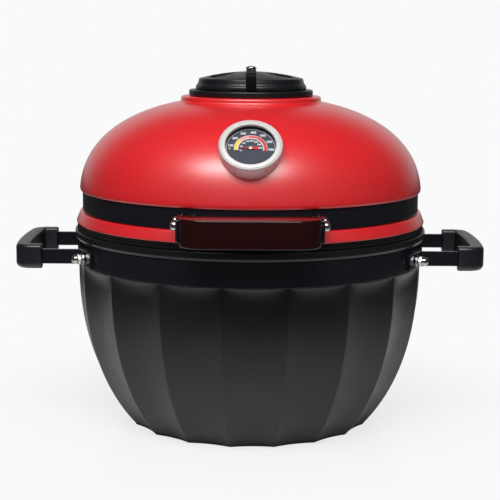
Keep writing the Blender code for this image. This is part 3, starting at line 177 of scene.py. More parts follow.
class KamadoFire(bpy.types.PropertyGroup):
    """Sizes of the fire box, the fire ring and the two grids."""

    wall: length("Wall", 0.013, "Wall of the clay parts")
    box_low: length("Box foot", 0.0203, "Height of the fire box's foot")
    box_top: length("Box top", 0.1183, "Height of the fire box's rim")
    box_base: length("Box base radius", 0.096, "Outer radius at the foot")
    box_rim: length("Box rim radius", 0.130, "Outer radius at the rim")
    ledge: length("Ledge radius", 0.078, "Inner radius under the grate")
    ledge_top: length("Ledge height", 0.0603, "Height of the ledge that carries the grate")
    ring_low: length("Ring foot", 0.1186, "Height of the fire ring's foot")
    ring_top: length("Ring top", 0.1786, "Height of the fire ring's rim")
    ring_rim: length("Ring rim radius", 0.147, "Outer radius at the fire ring's rim")
    grate: length("Grate radius", 0.0962, "Radius of the charcoal grate")
    grate_thick: length("Grate thickness", 0.008, "Thickness of the charcoal grate")
    slots: count("Slots", 7, "Number of slots in the grate")
    slot_pitch: length("Slot pitch", 0.022, "Distance between slots")
    slot_wide: length("Slot width", 0.009, "Width of a slot")
    slot_rim: length("Slot rim", 0.012, "Metal left at the ends of the slots")
    grid: length("Grid radius", 0.1405, "Radius of the cooking grid's ring")
    grid_high: length("Grid height", 0.1819, "Height of the cooking grid's wires")
    wire: length("Ring wire", 0.003, "Radius of the ring's wire")
    bar: length("Bar wire", 0.002, "Radius of a bar")
    bars: count("Bars", 11, "Number of bars")
    bar_pitch: length("Bar pitch", 0.023, "Distance between bars")


class KamadoHandles(bpy.types.PropertyGroup):
    """Sizes of the side handles and of the handle on the lid."""

    strap_foot: length("Strap foot radius", 0.1741, "Radius of the strap's middle on the band")
    strap_high: length("Strap height", 0.1724, "Height of the strap's middle")
    strap_tall: length("Strap width", 0.0144, "Width of the strap")
    strap_thick: length("Strap thickness", 0.003, "Thickness of the strap")
    strap_arm: length("Arm", 0.058, "Distance of an arm from the middle")
    strap_reach: length("Reach", 0.2215, "Distance of the cross-bar from the axis")
    strap_bend: length("Bend", 0.007, "Bend between arm and cross-bar")
    foot_from: angle("Foot end", 30.0, "Where the strap's foot ends on the band")
    grip_wide: length("Grip width", 0.013, "Width of the plastic grip")
    grip_tall: length("Grip height", 0.0236, "Height of the plastic grip")
    grip_start: length("Grip start", 0.202, "Where the grip's legs start")
    grip_bend: length("Grip bend", 0.012, "Bend between the grip's leg and its cross-bar")
    grip_bow: length("Grip bow", 0.003, "How far the grip's cross-bar bows out")
    stud_turn: angle("Stud turn", 24.5, "Turn of a stud from the side")
    stud_seat: length("Stud seat", 0.1723, "Distance of a stud's foot from the axis")
    bar_half: length("Bar half length", 0.062, "Half the length of the lid's handle")
    bar_flat: length("Bar flat", 0.0385, "Half of the straight front")
    bar_back: length("Bar back", 0.188, "Distance of the bar's back from the axis")
    bar_front: length("Bar front", 0.222, "Distance of the bar's front from the axis")
    bar_low: length("Bar height", 0.2053, "Under side of the bar")
    bar_tall: length("Bar width", 0.0252, "Height of the bar")
    bar_edge: length("Bar edge", 0.0014, "Rounding of the bar's edges")
    lug_inside: length("Lug place", 0.0623, "Distance of a lug's inner side from the middle")
    lug_thick: length("Lug thickness", 0.0025, "Thickness of a lug")
    lug_front: length("Lug front", 0.203, "Distance of a lug's front from the axis")
    lug_back: length("Lug back", 0.15703, "Distance of a lug's back from the axis")
    lug_low: length("Lug height", 0.2073, "Lower side of a lug's front part")
    lug_step: length("Lug step", 0.2145, "Lower side of a lug's rear part")
    lug_top: length("Lug top", 0.2295, "Upper side of a lug")
    screw_out: length("Screw place", 0.196, "Distance of the bar's screws from the axis")
    bolt_out: length("Bolt place", 0.16653, "Distance of the lugs' bolts from the axis")
    bolt_high: length("Bolt height", 0.2225, "Height of the bar's screws and the lugs' bolts")


class KamadoVent(bpy.types.PropertyGroup):
    """Sizes of the top vent."""

    flange: length("Flange radius", 0.0615, "Radius of the flange")
    flange_low: length("Flange height", 0.3263, "Under side of the flange")
    flange_top: length("Flange top", 0.3321, "Upper side of the flange")
    spigot: length("Spigot radius", 0.0397, "Outer radius of the spigot in the chimney")
    bore: length("Bore radius", 0.0352, "Inner radius of the spigot")
    spigot_low: length("Spigot end", 0.3063, "Lower end of the spigot")
    cap: length("Cap radius", 0.055, "Radius of the cap's skirt")
    cap_top: length("Cap top radius", 0.052, "Radius of the cap's crown")
    cap_low: length("Cap height", 0.3324, "Lower edge of the cap")
    cap_edge: length("Cap edge", 0.3430, "Height of the crown's edge")
    crest: length("Crest", 0.350, "Height of the cap's middle")
    cap_wall: length("Cap wall", 0.004, "Wall of the cap")
    bolt_bore: length("Bolt bore", 0.0033, "Radius of the bore for the damper's bolt")
    petals: count("Petals", 3, "Number of openings")
    petal_inner: length("Petal inner place", 0.0225, "Distance of a petal's narrow end")
    petal_inner_r: length("Petal inner radius", 0.0045, "Radius of a petal's narrow end")
    petal_outer: length("Petal outer place", 0.0365, "Distance of a petal's wide end")
    petal_outer_r: length("Petal outer radius", 0.0095, "Radius of a petal's wide end")
    disc: length("Disc radius", 0.044, "Radius of the damper disc")
    disc_low: length("Disc height", 0.3387, "Under side of the damper disc")
    disc_thick: length("Disc thickness", 0.002, "Thickness of the damper disc")
    lever_wide: length("Lever width", 0.0098, "Width of the lever")
    lever_thick: length("Lever thickness", 0.002, "Thickness of the lever")


class KamadoThermometer(bpy.types.PropertyGroup):
    """Sizes of the thermometer on the lid."""

    out: length("Distance", 0.1482, "Distance of the face's middle from the axis")
    high: length("Height", 0.283547, "Height of the face's middle on the dome")
    tilt: angle("Tilt", 44.0, "How far the face looks up")
    case: length("Case radius", 0.02875, "Radius of the case")
    case_wall: length("Case wall", 0.002, "Wall of the case")
    case_top: length("Case top", 0.0073, "Height of the case over the dome")
    case_back: length("Case back", 0.0049, "How far the case sinks into the dome")
    opening: length("Opening", 0.0227, "Radius of the bezel's opening")
    bezel_top: length("Bezel top", 0.0101, "Height of the bezel over the dome")
    dial_top: length("Dial height", 0.0041, "Height of the dial's face")
    numbers: count("Numbers", 7, "Count of numbers on each scale")
    scale_from: angle("Scale start", 170.0, "Angle of the first number")
    scale_step: angle("Scale step", 29.1, "Angle between numbers")
    inner_from: angle("Inner scale start", 165.0, "Angle of the inner scale's first number")
    inner_step: angle("Inner scale step", 26.9, "Angle between the inner scale's numbers")
    scale_radius: length("Scale radius", 0.0183, "Distance of the outer numbers from the middle")
    arc_inner: length("Arc inner radius", 0.0113, "Inner radius of the coloured arc")
    arc_outer: length("Arc outer radius", 0.0147, "Outer radius of the coloured arc")
    ticks: count("Ticks", 61, "Count of short ticks along the arc")
    long_ticks: count("Long ticks", 31, "Count of long ticks along the arc")


class KamadoColours(bpy.types.PropertyGroup):
    """Colours of the finishes."""

    glazed_red: colour("Red glaze", (212, 14, 24), "Glaze of the lid")
    glazed_charcoal: colour("Charcoal glaze", (23, 21, 23), "Glaze of the bowl")
    bare_clay: colour("Bare clay", (196, 178, 154), "Unglazed inside of bowl and lid")
    coated_steel: colour("Coated steel", (24, 23, 30), "Coating of bands, straps and brackets")
    felt: colour("Felt", (14, 14, 15), "Felt rings")
    fire_clay: colour("Fire clay", (188, 164, 132), "Fire box and fire ring")
    cast_iron: colour("Cast iron", (21, 20, 26), "Coating of the vent")
    matt_iron: colour("Matt iron", (7, 7, 10), "Damper lever")
    bare_iron: colour("Bare iron", (58, 56, 55), "Charcoal grate")
    steel: colour("Steel", (205, 204, 202), "Fasteners, cooking grid and draft door")
    chrome: colour("Chrome", (206, 203, 200), "Bezel of the thermometer")
    satin_case: colour("Satin case", (232, 229, 228), "Side of the thermometer case")
    moulded_black: colour("Moulded black", (20, 18, 27), "Grips and knob")
    lacquer: colour("Lacquer", (38, 9, 10), "Handle on the lid")
    dial: colour("Dial", (56, 61, 74), "Face of the thermometer")
    glass: colour("Glass", (60, 64, 72), "Window of the thermometer")
    needle: colour("Needle", (206, 36, 40), "Pointer of the thermometer")


class KamadoStage(bpy.types.PropertyGroup):
    """Camera, lights and surroundings."""

    distance: length("Camera distance", 1.4, "Distance of the camera in front of the axis")
    height: length("Camera height", 0.3934, "Height of the camera")
    tilt: angle("Camera tilt", 80.95, "Tilt of the camera from looking straight down")
    roll: angle("Camera roll", 0.38, "Roll of the camera")
    lens: number("Lens", 100.8, "Focal length in millimetres on a 36 mm sensor")
    power: number("Softbox", 26.0, "Power of the softbox overhead, in watts")
    box_wide: length("Softbox width", 1.3, "Width of the softbox")
    box_deep: length("Softbox depth", 0.44, "Depth of the softbox")
    fill: number("Fill", 0.4, "Level of the soft light from all sides")
    bright: number("Bright surroundings", 0.6, "Level behind the object, as glossy pieces show it")
    dark: number("Dark surroundings", 0.05, "Level beside and before the object, as glossy pieces show it")
    backdrop: colour("Backdrop", (250, 250, 251), "What the camera sees behind the object")
    floor: colour("Floor", (238, 238, 240), "Colour of the floor")


SETTINGS = {
    "kamado_bowl": KamadoBowl,
    "kamado_lid": KamadoLid,
    "kamado_bands": KamadoBands,
    "kamado_fire": KamadoFire,
    "kamado_handles": KamadoHandles,
    "kamado_vent": KamadoVent,
    "kamado_thermometer": KamadoThermometer,
    "kamado_colours": KamadoColours,
    "kamado_stage": KamadoStage,
}

# Finishes: record slot, second tone's share, mottle scale, roughness from and to, grain scale and height,
# stretch of the pattern, an attribute that gives the colour, and plain shader values.
FINISHES = {
    "glazed_red": {
        "slot": "red_glaze",
        "dim": 0.86,
        "mottle": 9,
        "rough": (0.32, 0.4),
        "grain": (320, 0.00003),
        "sockets": {"Coat Weight": 1.0, "Coat IOR": 1.6, "Coat Roughness": 0.34, "Specular IOR Level": 0.5},
    },
    "glazed_charcoal": {
        "slot": "charcoal_ceramic",
        "dim": 0.78,
        "mottle": 11,
        "rough": (0.30, 0.40),
        "grain": (420, 0.00004),
        "sockets": {"Specular IOR Level": 0.4},
    },
    "bare_clay": {
        "slot": "fire_clay",
        "dim": 0.72,
        "mottle": 26,
        "rough": (0.82, 0.95),
        "grain": (520, 0.0003),
        "sockets": {"Specular IOR Level": 0.3},
    },
    "coated_steel": {
        "slot": "black_steel",
        "dim": 0.7,
        "mottle": 24,
        "rough": (0.15, 0.23),
        "grain": (900, 0.00001),
        "sockets": {"Specular IOR Level": 0.45},
    },
    "felt": {
        "slot": "felt",
        "dim": 0.5,
        "mottle": 240,
        "rough": (0.9, 1.0),
        "grain": (1500, 0.0006),
        "sockets": {"Sheen Weight": 0.04, "Sheen Roughness": 0.6, "Specular IOR Level": 0.05},
    },
    "fire_clay": {
        "slot": "fire_clay",
        "dim": 0.66,
        "mottle": 60,
        "rough": (0.85, 0.98),
        "grain": (640, 0.0004),
        "sockets": {"Specular IOR Level": 0.25},
    },
    "cast_iron": {
        "slot": "cast_iron",
        "dim": 0.72,
        "mottle": 40,
        "rough": (0.3, 0.42),
        "grain": (1100, 0.00005),
        "sockets": {"Specular IOR Level": 0.5},
    },
    "matt_iron": {
        "slot": "cast_iron",
        "dim": 0.72,
        "mottle": 40,
        "rough": (0.55, 0.65),
        "grain": (1100, 0.00005),
        "sockets": {"Specular IOR Level": 0.15},
    },
    "bare_iron": {
        "slot": "cast_iron",
        "dim": 0.55,
        "mottle": 70,
        "rough": (0.55, 0.75),
        "grain": (900, 0.00025),
        "sockets": {"Metallic": 0.6},
    },
    "steel": {
        "slot": "bright_steel",
        "dim": 0.8,
        "mottle": 90,
        "rough": (0.16, 0.28),
        "grain": (700, 0.00003),
        "stretch": (1, 1, 14),
        "sockets": {"Metallic": 1.0},
    },
    "chrome": {
        "slot": "chrome",
        "dim": 0.93,
        "mottle": 60,
        "rough": (0.3, 0.4),
        "grain": (500, 0.00001),
        "sockets": {"Metallic": 0.3, "Specular IOR Level": 0.3},
    },
    "satin_case": {
        "slot": "chrome",
        "dim": 0.9,
        "mottle": 60,
        "rough": (0.26, 0.36),
        "grain": (500, 0.00002),
        "sockets": {"Metallic": 0.4},
    },
    "moulded_black": {
        "slot": "black_plastic",
        "dim": 0.75,
        "mottle": 60,
        "rough": (0.32, 0.42),
        "grain": (2200, 0.00006),
        "sockets": {"Specular IOR Level": 0.8},
    },
    "lacquer": {
        "slot": "dark_lacquer",
        "dim": 0.6,
        "mottle": 60,
        "rough": (0.14, 0.22),
        "grain": (420, 0.00002),
        "stretch": (0.12, 1.6, 1.6),
        "sockets": {"Coat Weight": 0.4, "Coat Roughness": 0.05, "Specular IOR Level": 0.2},
    },
    "dial": {
        "slot": "dial_black",
        "dim": 0.86,
        "mottle": 300,
        "rough": (0.5, 0.62),
        "grain": (2600, 0.00002),
        "sockets": {"Specular IOR Level": 0.4},
    },
    "ink": {
        "slot": "dial_black",
        "dim": 0.88,
        "mottle": 900,
        "rough": (0.45, 0.6),
        "grain": (3000, 0.00001),
        "attribute": "ink",
        "sockets": {"Specular IOR Level": 0.4},
    },
    "glass": {
        "slot": "clear_glass",
        "dim": 0.97,
        "mottle": 120,
        "rough": (0.02, 0.05),
        "grain": (120, 0.00001),
        "sockets": {"Alpha": 0.05, "IOR": 1.5},
    },
    "needle": {
        "slot": "pointer_red",
        "dim": 0.85,
        "mottle": 500,
        "rough": (0.32, 0.45),
        "grain": (2400, 0.00001),
        "sockets": {"Specular IOR Level": 0.5},
    },
}


class Nodes:
    """A node tree under construction."""

    def __init__(self, group):
        self.group = group

    def feed(self, node, links):
        """Feeds a node's inputs from sockets or plain values."""
        for label, value in links.items():
            if isinstance(value, bpy.types.NodeSocket):
                self.group.links.new(value, node.inputs[label])
            else:
                node.inputs[label].default_value = value
        return node

    def put(self, kind, links=None, **settings):
        """Adds a node, sets it and feeds it."""
        node = self.group.nodes.new(kind)
        for label, value in settings.items():
            setattr(node, label, value)
        return self.feed(node, links or {})

    def math(self, operation, *values, **settings):
        return self.put("ShaderNodeMath", dict(enumerate(values)), operation=operation, **settings).outputs[0]

    def ramp(self, value, low, high, start, end, kind="SMOOTHSTEP"):
        """A value between low and high, carried over to a value between start and end."""
        links = {"Value": value, "From Min": low, "From Max": high, "To Min": start, "To Max": end}
        return self.put("ShaderNodeMapRange", links, interpolation_type=kind).outputs[0]

    def mixed(self, share, first, second):
        return self.put("ShaderNodeMixShader", {0: share, 1: first, 2: second}).outputs[0]


def finish(name):
    """The material of a finish, made on first use: two mottled tones, uneven gloss and a fine grain."""
    made = bpy.data.materials.get(f"kamado_{name}")
    if made:
        return made
    recipe = FINISHES[name]
    made = bpy.data.materials.new(f"kamado_{name}")
    made.use_nodes = True
    tree = Nodes(made.node_tree)
    place = tree.put("ShaderNodeTexCoord").outputs["Object"]
    links = {"Vector": place, "Scale": recipe.get("stretch", (1, 1, 1))}
    pattern = tree.put("ShaderNodeMapping", links).outputs["Vector"]

    def noise(scale, detail):
        links = {"Vector": pattern, "Scale": scale, "Detail": detail}
        return tree.put("ShaderNodeTexNoise", links).outputs[0]

    dim = recipe["dim"]
    if "attribute" in recipe:
        blend, second = "MULTIPLY", (dim, dim, dim, 1)
        first = tree.put("ShaderNodeAttribute", attribute_name=recipe["attribute"]).outputs["Color"]
    else:
        base = getattr(bpy.context.scene.kamado_colours, name)
        blend, first, second = "MIX", (*base, 1), (*[v * dim for v in base], 1)
    links = {0: noise(recipe["mottle"], 4), 6: first, 7: second}
    tones = tree.put("ShaderNodeMix", links, data_type="RGBA", blend_type=blend).outputs[2]
    gloss = tree.ramp(noise(recipe["mottle"] * 3.1, 3), 0.3, 0.7, *recipe["rough"], kind="LINEAR")
    scale, tall = recipe["grain"]
    links = {"Strength": 1, "Distance": tall, "Height": noise(scale, 2)}
    grain = tree.put("ShaderNodeBump", links).outputs["Normal"]
    links = {"Base Color": tones, "Roughness": gloss, "Normal": grain, **recipe["sockets"]}
    tree.feed(made.node_tree.nodes["Principled BSDF"], links)
    return made


def linked(name, mesh):
    made = bpy.data.objects.new(name, mesh)
    bpy.context.scene.collection.objects.link(made)
    return made


def tidied(obj):
    """Closes an object's seams and turns its faces outwards."""
    work = bmesh.new()
    work.from_mesh(obj.data)
    bmesh.ops.remove_doubles(work, verts=work.verts, dist=MERGE)
    bmesh.ops.recalc_face_normals(work, faces=work.faces)
    work.to_mesh(obj.data)
    work.free()
    return obj


def shaped(name, points, faces, place=None):
    """An object from points and faces, moved to its place."""
    mesh = bpy.data.meshes.new(name)
    mesh.from_pydata([tuple(p) for p in points], [], faces)
    if place:
        mesh.transform(place)
    return tidied(linked(name, mesh))


def settled(obj):
    """Keeps what an object's modifiers make as its plain mesh."""
    graph = bpy.context.evaluated_depsgraph_get()
    mesh = bpy.data.meshes.new_from_object(obj.evaluated_get(graph), depsgraph=graph)
    obj.modifiers.clear()
    obj.data = mesh
    return obj


def bevelled(obj, width, segments=3, limit=30):
    edge = obj.modifiers.new("Edges", "BEVEL")
    edge.width = width
    edge.segments = segments
    edge.limit_method = "ANGLE"
    edge.angle_limit = math.radians(limit)
    return settled(obj)


def cut(obj, cutter):
    """Takes a cutter out of an object, and removes the cutter."""
    hollow = obj.modifiers.new("Cut", "BOOLEAN")
    hollow.operation = "DIFFERENCE"
    hollow.solver = "EXACT"
    hollow.object = cutter
    settled(obj)
    bpy.data.objects.remove(cutter)
    return obj


def joined(name, parts):
    """One object of several loose parts, which are used up."""
    work = bmesh.new()
    for part in parts:
        work.from_mesh(part.data)
        bpy.data.objects.remove(part)
    mesh = bpy.data.meshes.new(name)
    work.to_mesh(mesh)
    work.free()
    return linked(name, mesh)


def dress(obj, finish_name, body, *nodes):
    """Shades a finished piece, gives it its finish, and lets it stand for its solids on a body."""
    mesh = obj.data
    if not mesh.materials or mesh.materials[0] is not finish(finish_name):
        mesh.materials.clear()
        mesh.materials.append(finish(finish_name))
    mesh.shade_smooth()
    mesh.set_sharp_from_angle(angle=SMOOTH)
    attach(obj, body)
    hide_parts(*nodes)
    return obj


def arc(x, y, radius, start, end, steps, tall=None):
    """Points along an arc, or along part of an ellipse where a second radius is given."""
    tall = radius if tall is None else tall
    turns = [start + (end - start) * i / steps for i in range(steps + 1)]
    return [(x + radius * math.cos(t), y + tall * math.sin(t)) for t in turns]


def fillet(points, radii, steps=5, loop=True):
    """A flat line with its corners rounded. One radius serves all, or each point has its own."""
    n = len(points)
    radii = [radii] * n if isinstance(radii, (int, float)) else radii
    made = []
    for i, here in enumerate(points):
        here = Vector(here)
        if radii[i] == 0 or (not loop and i in (0, n - 1)):
            made.append(tuple(here))
            continue
        back = Vector(points[i - 1]) - here
        ahead = Vector(points[(i + 1) % n]) - here
        half = back.angle(ahead) / 2
        reach = min(radii[i] / math.tan(half), 0.49 * back.length, 0.49 * ahead.length)
        start = here + back.normalized() * reach
        end = here + ahead.normalized() * reach
        for k in range(steps + 1):
            t = k / steps
            made.append(tuple(start * (1 - t) ** 2 + here * 2 * t * (1 - t) + end * t**2))
    return made


def rectangle(left, low, right, high):
    """The corners of a rectangle, from its first corner along its lower side."""
    return [(left, low), (right, low), (right, high), (left, high)]


def rounded(wide, tall, radius, steps=4):
    """A rectangle about the origin with rounded corners, from the lower left."""
    x, y = wide / 2, tall / 2
    return fillet(rectangle(-x, -y, x, y), radius, steps)


def turned(name, profile, steps=72, place=None, angles=None):
    """A shape turned about Z. Its half section closes on itself unless it ends on the axis."""
    angles = angles or [TURN * i / steps for i in range(steps)]
    n = len(angles)
    points, rings, faces = [], [], []
    for radius, z in profile:
        first = len(points)
        if radius < MERGE:
            points.append((0, 0, z))
            rings.append([first] * n)
        else:
            points += [(radius * math.cos(a), radius * math.sin(a), z) for a in angles]
            rings.append(list(range(first, first + n)))
    pairs = list(zip(rings, rings[1:]))
    if profile[0][0] > MERGE and profile[-1][0] > MERGE:
        pairs.append((rings[-1], rings[0]))
    for low, high in pairs:
        for i in range(n):
            j = (i + 1) % n
            face = list(dict.fromkeys((low[i], low[j], high[j], high[i])))
            if len(face) > 2:
                faces.append(face)
    return shaped(name, points, faces, place)


def prism(name, outline, low, high, place=None):
    """A flat outline given thickness along Z."""
    n = len(outline)
    points = [(x, y, z) for z in (low, high) for x, y in outline]
    faces = [tuple(reversed(range(n))), tuple(range(n, 2 * n))]
    faces += [(i, (i + 1) % n, n + (i + 1) % n, n + i) for i in range(n)]
    return shaped(name, points, faces, place)


def swept(name, path, section, place=None):
    """A section carried along a flat path. Its x lies to the path's right, and its y stands on the plane."""
    path = [Vector(p) for p in path]
    legs = [(b - a).normalized() for a, b in zip(path, path[1:])]
    m = len(section)
    points = []
    for i, here in enumerate(path):
        along = legs[max(i - 1, 0) : i + 1]
        mean = sum(along, Vector((0, 0))).normalized()
        stretch = 1 / max(mean.dot(along[0]), 0.3)
        right = Vector((mean.y, -mean.x)) * stretch
        points += [(*(here + right * x), y) for x, y in section]
    faces = [tuple(range(m)), tuple(range(len(points) - m, len(points)))]
    for i in range(len(path) - 1):
        for k in range(m):
            a, b = i * m + k, i * m + (k + 1) % m
            faces.append((a, b, b + m, a + m))
    return shaped(name, points, faces, place)


def aimed(point, out, side=None):
    """A placement at a point whose Z looks along out and whose Y leans to side."""
    z = Vector(out).normalized()
    side = Vector(side) if side else (Y_AXIS if abs(z.z) > 0.9 else Z_AXIS)
    y = (side - z * side.dot(z)).normalized()
    place = Matrix((y.cross(z), y, z)).transposed().to_4x4()
    place.translation = point
    return place


def around(radius, z, outs):
    """Placements on a circle about the axis, one for each direction, looking outwards."""
    return [aimed(Vector(out) * radius + Z_AXIS * z, out) for out in outs]


def doubled(half):
    """A path that ends at the middle, followed by its mirror image."""
    return half + [(x, -y) for x, y in reversed(half)]


def mirrored(path, sign):
    return [(x * sign, y) for x, y in path]


def plate(name, outline, inside, thick, sign, edge):
    """An upright plate beside the middle, on the side that the sign gives."""
    near, far = sorted((sign * inside, sign * (inside + thick)))
    return bevelled(prism(name, outline, near, far, ACROSS), edge, 2)


def softened(name, node, width):
    """A copy of a solid with its flat faces made whole again and its edges eased."""
    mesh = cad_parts[node].data.copy()
    if "custom_normal" in mesh.attributes:
        mesh.attributes.remove(mesh.attributes["custom_normal"])
    work = bmesh.new()
    work.from_mesh(mesh)
    bmesh.ops.remove_doubles(work, verts=work.verts, dist=MERGE * 10)
    bmesh.ops.dissolve_limit(work, angle_limit=math.radians(1.5), verts=work.verts, edges=work.edges)
    work.to_mesh(mesh)
    work.free()
    return bevelled(linked(name, mesh), width, 2)


class Tree(Nodes):
    """A geometry node tree under construction, with named inputs for its sizes."""

    def __init__(self, name, **inputs):
        super().__init__(bpy.data.node_groups.new(name, "GeometryNodeTree"))
        socket = self.group.interface.new_socket
        socket("Geometry", in_out="INPUT", socket_type="NodeSocketGeometry")
        for label, kind in inputs.items():
            socket(label, in_out="INPUT", socket_type=f"NodeSocket{kind}")
        socket("Material", in_out="INPUT", socket_type="NodeSocketMaterial")
        socket("Geometry", in_out="OUTPUT", socket_type="NodeSocketGeometry")
        self.given = self.group.nodes.new("NodeGroupInput").outputs

    def vector(self, x=0.0, y=0.0, z=0.0):
        return self.put("ShaderNodeCombineXYZ", {"X": x, "Y": y, "Z": z}).outputs[0]

    def scaled(self, vector, scale):
        links = {0: vector, "Scale": scale}
        return self.put("ShaderNodeVectorMath", links, operation="SCALE").outputs[0]

    def attribute(self, name, kind="FLOAT"):
        node = self.put("GeometryNodeInputNamedAttribute", {"Name": name}, data_type=kind)
        return node.outputs["Attribute"]

    def index(self):
        return self.put("GeometryNodeInputIndex").outputs[0]

    def points(self, amount):
        """Points that all lie at the origin."""
        return self.put("GeometryNodeMeshLine", {"Count": amount, "Offset": (0, 0, 0)}).outputs[0]

    def placed(self, geometry, **links):
        return self.put("GeometryNodeSetPosition", {"Geometry": geometry, **links}).outputs[0]

    def row(self, amount, pitch):
        """Points on X about the middle, and the place of each along X."""
        middle = self.math("DIVIDE", self.math("SUBTRACT", amount, 1.0), 2.0)
        x = self.math("MULTIPLY", self.math("SUBTRACT", self.index(), middle), pitch)
        return self.placed(self.points(amount), Position=self.vector(x)), x

    def chord(self, radius, x):
        """Half the chord of a circle at this distance from its middle."""
        rest = self.math("SUBTRACT", self.math("MULTIPLY", radius, radius), self.math("MULTIPLY", x, x))
        return self.math("SQRT", self.math("MAXIMUM", rest, 0.0))

    def template(self):
        """The object given as a template, as an instance."""
        links = {"Object": self.given["Template"], "As Instance": True}
        return self.put("GeometryNodeObjectInfo", links).outputs["Geometry"]

    def copies(self, points, instance, **links):
        links = {"Points": points, "Instance": instance, **links}
        return self.put("GeometryNodeInstanceOnPoints", links).outputs[0]

    def real(self, geometry):
        return self.put("GeometryNodeRealizeInstances", {"Geometry": geometry}).outputs[0]

    def taken_from(self, solid, cutters):
        links = {"Mesh 1": solid, "Mesh 2": self.real(cutters)}
        return self.put("GeometryNodeMeshBoolean", links, operation="DIFFERENCE", solver="EXACT").outputs[0]

    def end(self, geometry):
        """Makes copies real and gives the result the material."""
        links = {"Geometry": self.real(geometry), "Material": self.given["Material"]}
        done = self.put("GeometryNodeSetMaterial", links).outputs[0]
        self.put("NodeGroupOutput", {"Geometry": done})
        return self.group


def grown(obj, group, finish_name, **values):
    """Runs a node tree on an object, keeps the result as its plain mesh, and uses a template up."""
    step = obj.modifiers.new(group.name, "NODES")
    step.node_group = group
    values["Material"] = finish(finish_name)
    for item in group.interface.items_tree:
        if item.in_out == "INPUT" and item.name in values:
            step[item.identifier] = values[item.name]
    settled(obj)
    if "Template" in values:
        bpy.data.objects.remove(values["Template"])
    return obj


def flute_tree():
    """Presses flutes into the points marked as fluted, deepest in the middle and round at the upper end."""
    sizes = ("Depth", "Foot", "Shoulder", "Scoop", "Turn", "Ridge")
    tree = Tree("kamado_flutes", Flutes="Int", **dict.fromkeys(sizes, "Float"))
    given, calc = tree.given, tree.math
    place = tree.put("GeometryNodeInputPosition").outputs[0]
    x, y, z = tree.put("ShaderNodeSeparateXYZ", {0: place}).outputs
    turned_by = calc("SUBTRACT", calc("ARCTAN2", y, x), given["Turn"])
    share = calc("FRACT", calc("DIVIDE", calc("MULTIPLY", turned_by, given["Flutes"]), TURN))
    side = calc("MULTIPLY_ADD", share, 2.0, -1.0)
    hollow = calc("SUBTRACT", 1.0, calc("MULTIPLY", side, side))
    ridge = given["Ridge"]
    eased = calc("SQRT", calc("ADD", calc("MULTIPLY", hollow, hollow), calc("MULTIPLY", ridge, ridge)))
    hollow = calc("SUBTRACT", eased, ridge)
    start = calc("SUBTRACT", given["Shoulder"], given["Scoop"])
    rise = calc("MINIMUM", calc("DIVIDE", z, start), 1.0)
    deep = calc("MULTIPLY_ADD", calc("SUBTRACT", given["Depth"], given["Foot"]), rise, given["Foot"])
    along = calc("DIVIDE", calc("SUBTRACT", z, start), given["Scoop"])
    along = calc("MINIMUM", calc("MAXIMUM", along, 0.0), 1.0)
    fade = calc("SQRT", calc("SUBTRACT", 1.0, calc("MULTIPLY", along, along)))
    depth = calc("MULTIPLY", calc("MULTIPLY", deep, hollow), fade)
    depth = calc("MULTIPLY", depth, tree.attribute("fluted"))
    outwards = tree.put("ShaderNodeVectorMath", {0: tree.vector(x, y)}, operation="NORMALIZE").outputs[0]
    move = tree.scaled(outwards, calc("MULTIPLY", depth, -1.0))
    return tree.end(tree.placed(given["Geometry"], Offset=move))


def felt_tree():
    """Lets the surface of a felt ring wander a little."""
    tree = Tree("kamado_felt", Height="Float", Scale="Float")
    noise = tree.put("ShaderNodeTexNoise", {"Scale": tree.given["Scale"], "Detail": 2.0}).outputs[0]
    tall = tree.math("MULTIPLY", tree.math("SUBTRACT", noise, 0.5), tree.given["Height"])
    move = tree.scaled(tree.put("GeometryNodeInputNormal").outputs[0], tall)
    return tree.end(tree.placed(tree.given["Geometry"], Offset=move))


def fastener_tree():
    """Sets a fastener out on every point, looking along the point's aim."""
    tree = Tree("kamado_fasteners", Template="Object")
    aim = tree.attribute("aim", "FLOAT_VECTOR")
    turn = tree.put("FunctionNodeAlignRotationToVector", {"Vector": aim}, axis="Z").outputs[0]
    return tree.end(tree.copies(tree.given["Geometry"], tree.template(), Rotation=turn))


def grate_tree():
    """Cuts a row of slots through a round plate, each as long as the plate allows."""
    tree = Tree("kamado_slots", Slots="Int", Pitch="Float", Radius="Float", Long="Float", Template="Object")
    points, x = tree.row(tree.given["Slots"], tree.given["Pitch"])
    reach = tree.chord(tree.given["Radius"], x)
    scale = tree.vector(1.0, tree.math("DIVIDE", tree.math("MULTIPLY", reach, 2.0), tree.given["Long"]), 1.0)
    slots = tree.copies(points, tree.template(), Scale=scale)
    return tree.end(tree.taken_from(tree.given["Geometry"], slots))


def grid_tree():
    """Adds a row of round bars across a wire ring, each as long as the ring is there."""
    tree = Tree("kamado_bars", Bars="Int", Pitch="Float", Radius="Float", Wire="Float", Height="Float")
    points, x = tree.row(tree.given["Bars"], tree.given["Pitch"])
    links = {"Vertices": 16, "Radius": tree.given["Wire"], "Depth": 2.0}
    bar = tree.put("GeometryNodeMeshCylinder", links).outputs["Mesh"]
    scale = tree.vector(1.0, 1.0, tree.chord(tree.given["Radius"], x))
    bars = tree.copies(points, bar, Rotation=(math.pi / 2, 0, 0), Scale=scale)
    links = {"Geometry": bars, "Translation": tree.vector(0.0, 0.0, tree.given["Height"])}
    raised = tree.put("GeometryNodeTransform", links).outputs[0]
    both = tree.put("GeometryNodeJoinGeometry")
    for part in (tree.given["Geometry"], raised):
        tree.feed(both, {0: part})
    return tree.end(both.outputs[0])


